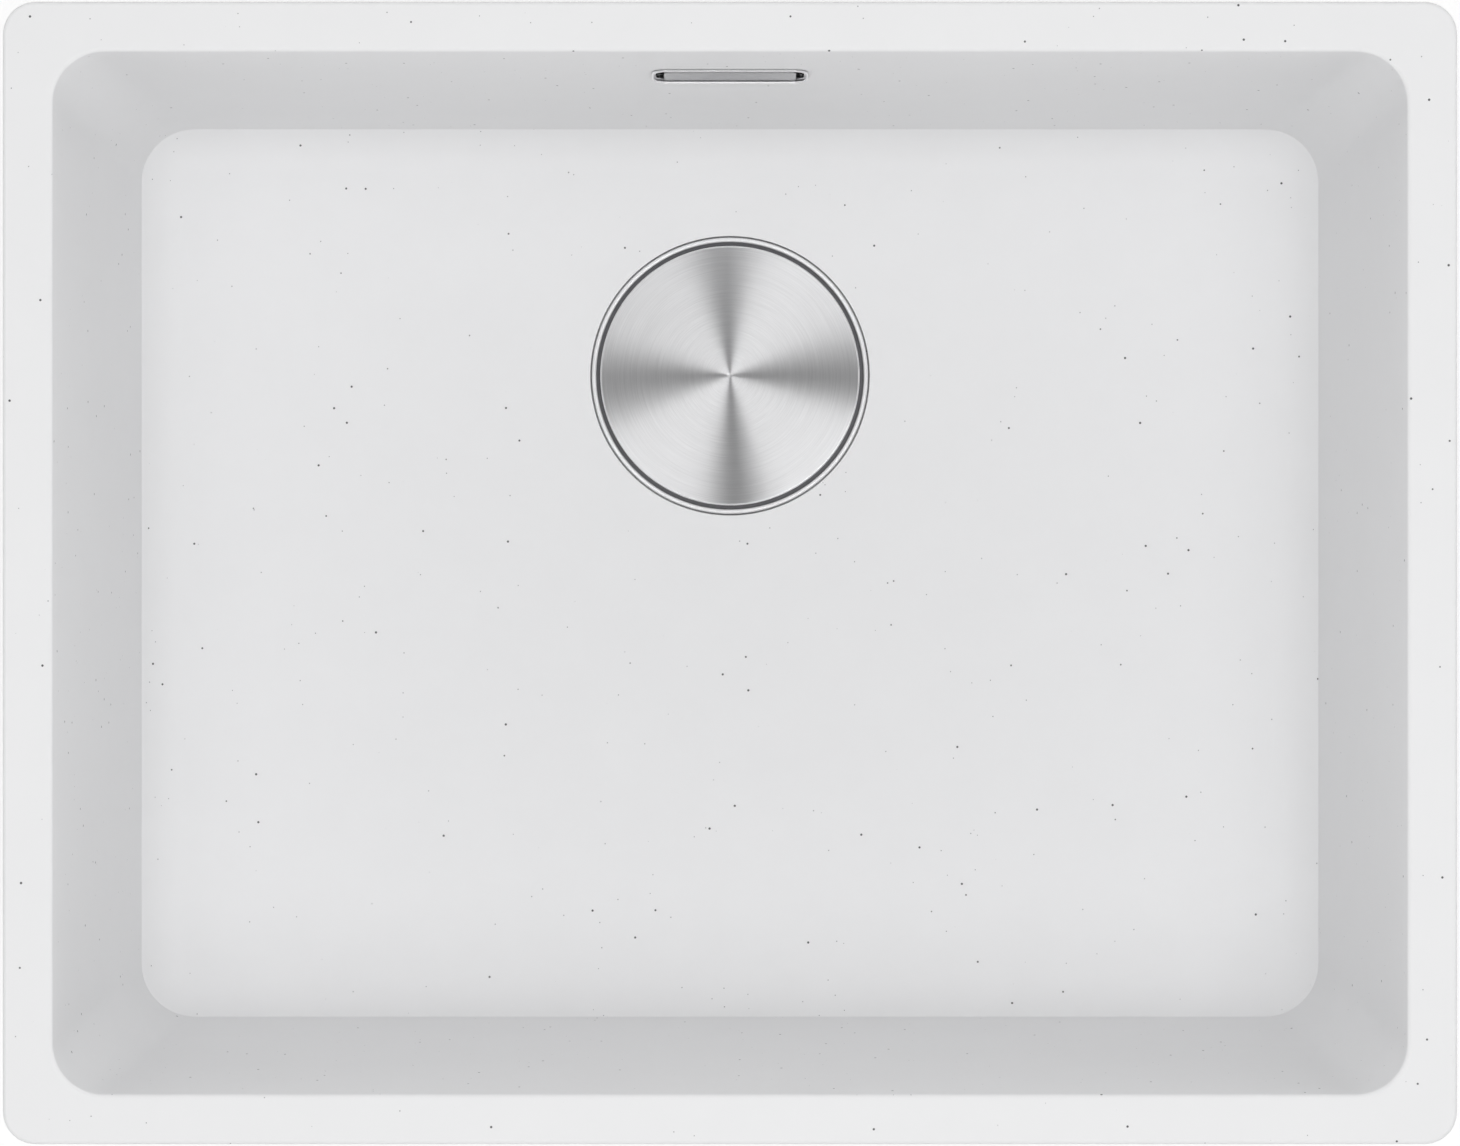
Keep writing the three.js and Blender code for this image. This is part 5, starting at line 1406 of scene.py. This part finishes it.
PIPE_RADIUS = 8.6 * MM
PIPE_ROOT = 7.3 * MM
PIPE_BORE = 6.1 * MM
CUFF_BORE = 6.6 * MM
PIPE_CUFF = 16 * MM
PIPE_LEAD = 17 * MM
PIPE_COLLAR = 2 * MM
COLLAR_RADIUS = 9.9 * MM
PIPE_START = -30.9 * MM
PIPE_END_Y = DRAIN.y + 70.1 * MM
PIPE_END_STRAIGHT = 17.5 * MM
RIB_PITCH = 4 * MM
PIPE_SEGMENTS = 32


def pipe_route():
    """The pipe's middle line: its whole length, and a function that gives a place and its direction."""
    down = Vector((0, -math.sin(DRAFT), -math.cos(DRAFT)))
    inward = Vector((0, -math.cos(DRAFT), math.sin(DRAFT)))
    start = Vector((0, OVERFLOW_Y, OVERFLOW_Z)) - inward * PIPE_OUT - down * PIPE_START
    room = start.y - math.tan(DRAFT) * (start.z - PORT_Z) - PIPE_END_Y - PIPE_END_STRAIGHT
    bend = room / (math.cos(DRAFT) - math.tan(DRAFT) * (1 - math.sin(DRAFT)))
    straight = (start.z - PORT_Z - bend * (1 - math.sin(DRAFT))) / math.cos(DRAFT)
    centre = start + down * straight + inward * bend
    turn = math.pi / 2 - DRAFT

    def at(along):
        if along <= straight:
            return start + down * along, down
        angle = min(turn, (along - straight) / bend)
        out = Vector((0, math.cos(DRAFT + angle), -math.sin(DRAFT + angle)))
        ahead = Vector((0, out.z, -out.y))
        beyond = max(0, along - straight - bend * turn)
        return centre + out * bend + ahead * beyond, ahead

    return straight + bend * turn + centre.y - PIPE_END_Y, at


def pipe_profile(length):
    """Distances along the pipe with its outer radius there: cuff, ribs, plain end and collar."""
    ribbed = length - PIPE_LEAD - PIPE_CUFF
    ribs = int(ribbed // RIB_PITCH)
    pitch = ribbed / ribs
    outline = [(0, PIPE_RADIUS - 0.5 * MM), (0.5 * MM, PIPE_RADIUS), (PIPE_CUFF - 0.4 * MM, PIPE_RADIUS)]
    for rib in range(ribs):
        for share, rise in ((0.1, 0.35), (0.22, 0), (0.42, 0), (0.54, 0.6), (0.64, 1), (0.9, 1)):
            outline.append((PIPE_CUFF + (rib + share) * pitch, PIPE_ROOT + (PIPE_RADIUS - PIPE_ROOT) * rise))
    outline += [
        (PIPE_CUFF + ribbed + 0.4 * MM, PIPE_ROOT),
        (length - PIPE_COLLAR - 0.3 * MM, PIPE_ROOT),
        (length - PIPE_COLLAR, COLLAR_RADIUS),
        (length - 0.3 * MM, COLLAR_RADIUS),
        (length, COLLAR_RADIUS - 0.3 * MM),
    ]
    return outline


def piped(stations, at):
    """A body through round sections, each a distance along the pipe's middle line and a radius."""
    bm = bmesh.new()
    loops = []
    for along, radius in stations:
        place, ahead = at(along)
        across = Vector((1, 0, 0))
        turn = Matrix((across, ahead.cross(across), ahead)).transposed().to_4x4()
        made = bmesh.ops.create_circle(
            bm, segments=PIPE_SEGMENTS, radius=radius, matrix=Matrix.Translation(place) @ turn
        )
        loops.append(list({e for v in made["verts"] for e in v.link_edges}))
    return skinned(bm, loops)


def make_pipe():
    length, at = pipe_route()
    cuff = [(-2 * MM, CUFF_BORE), (PIPE_CUFF, CUFF_BORE)]
    steps = 30
    start, end = PIPE_CUFF + MM, length + 2 * MM
    bore = [(start + (end - start) * step / steps, PIPE_BORE) for step in range(steps + 1)]
    return carved(piped(pipe_profile(length), at), [piped(cuff + bore, at)])


finished(
    make_pipe(), "overflow_pipe_ribbed", "sink", "overflow_pipe", white_plastic, sharp=50
)


# Union nut and its seal
# A white nut with finger grips screws on the port and pulls the pipe's collar against a rubber washer.

NUT_BACK = 75.4 * MM
NUT_LENGTH = 14 * MM
NUT_WALL = 3 * MM
NUT_THREAD = 12.3 * MM
NUT_MOUTH = 7.6 * MM
NUT_OUTER = 16.4 * MM
NUT_GRIPS = 8
UNION_SEAL = (68.3 * MM, 69.8 * MM)


def make_union_nut():
    near = NUT_BACK - NUT_LENGTH
    shell = soften(turned([
        (NUT_THREAD, near),
        (NUT_OUTER - 1.2 * MM, near),
        (NUT_OUTER - 1.2 * MM, NUT_BACK - 1.5 * MM),
        (NUT_OUTER - 2.6 * MM, NUT_BACK),
        (NUT_MOUTH, NUT_BACK),
        (NUT_MOUTH, NUT_BACK - NUT_WALL),
        (NUT_THREAD, NUT_BACK - NUT_WALL),
    ], 96), 0.3 * MM)

    def grip(turn):
        size = (2.6 * MM, 4.2 * MM, NUT_LENGTH - 2 * MM)
        middle = (NUT_OUTER - 1.4 * MM, 0, near + NUT_LENGTH / 2 - 0.6 * MM)
        return soften(block(size, middle, turn), 0.5 * MM)

    nut = carved(shell, [round_axis(NUT_GRIPS, grip, 0.5)], "UNION")
    return moved(turned_back(nut, 0, PORT_Z), DRAIN)


def make_union_seal():
    return moved(turned_back(washer(PORT_BORE, COLLAR_RADIUS, *UNION_SEAL, steps=64), 0, PORT_Z), DRAIN)


finished(make_union_nut(), "overflow_nut_moulding", "sink", "overflow_nut", white_plastic)
finished(make_union_seal(), "overflow_seal_rubber", "sink", "overflow_seal", rubber)
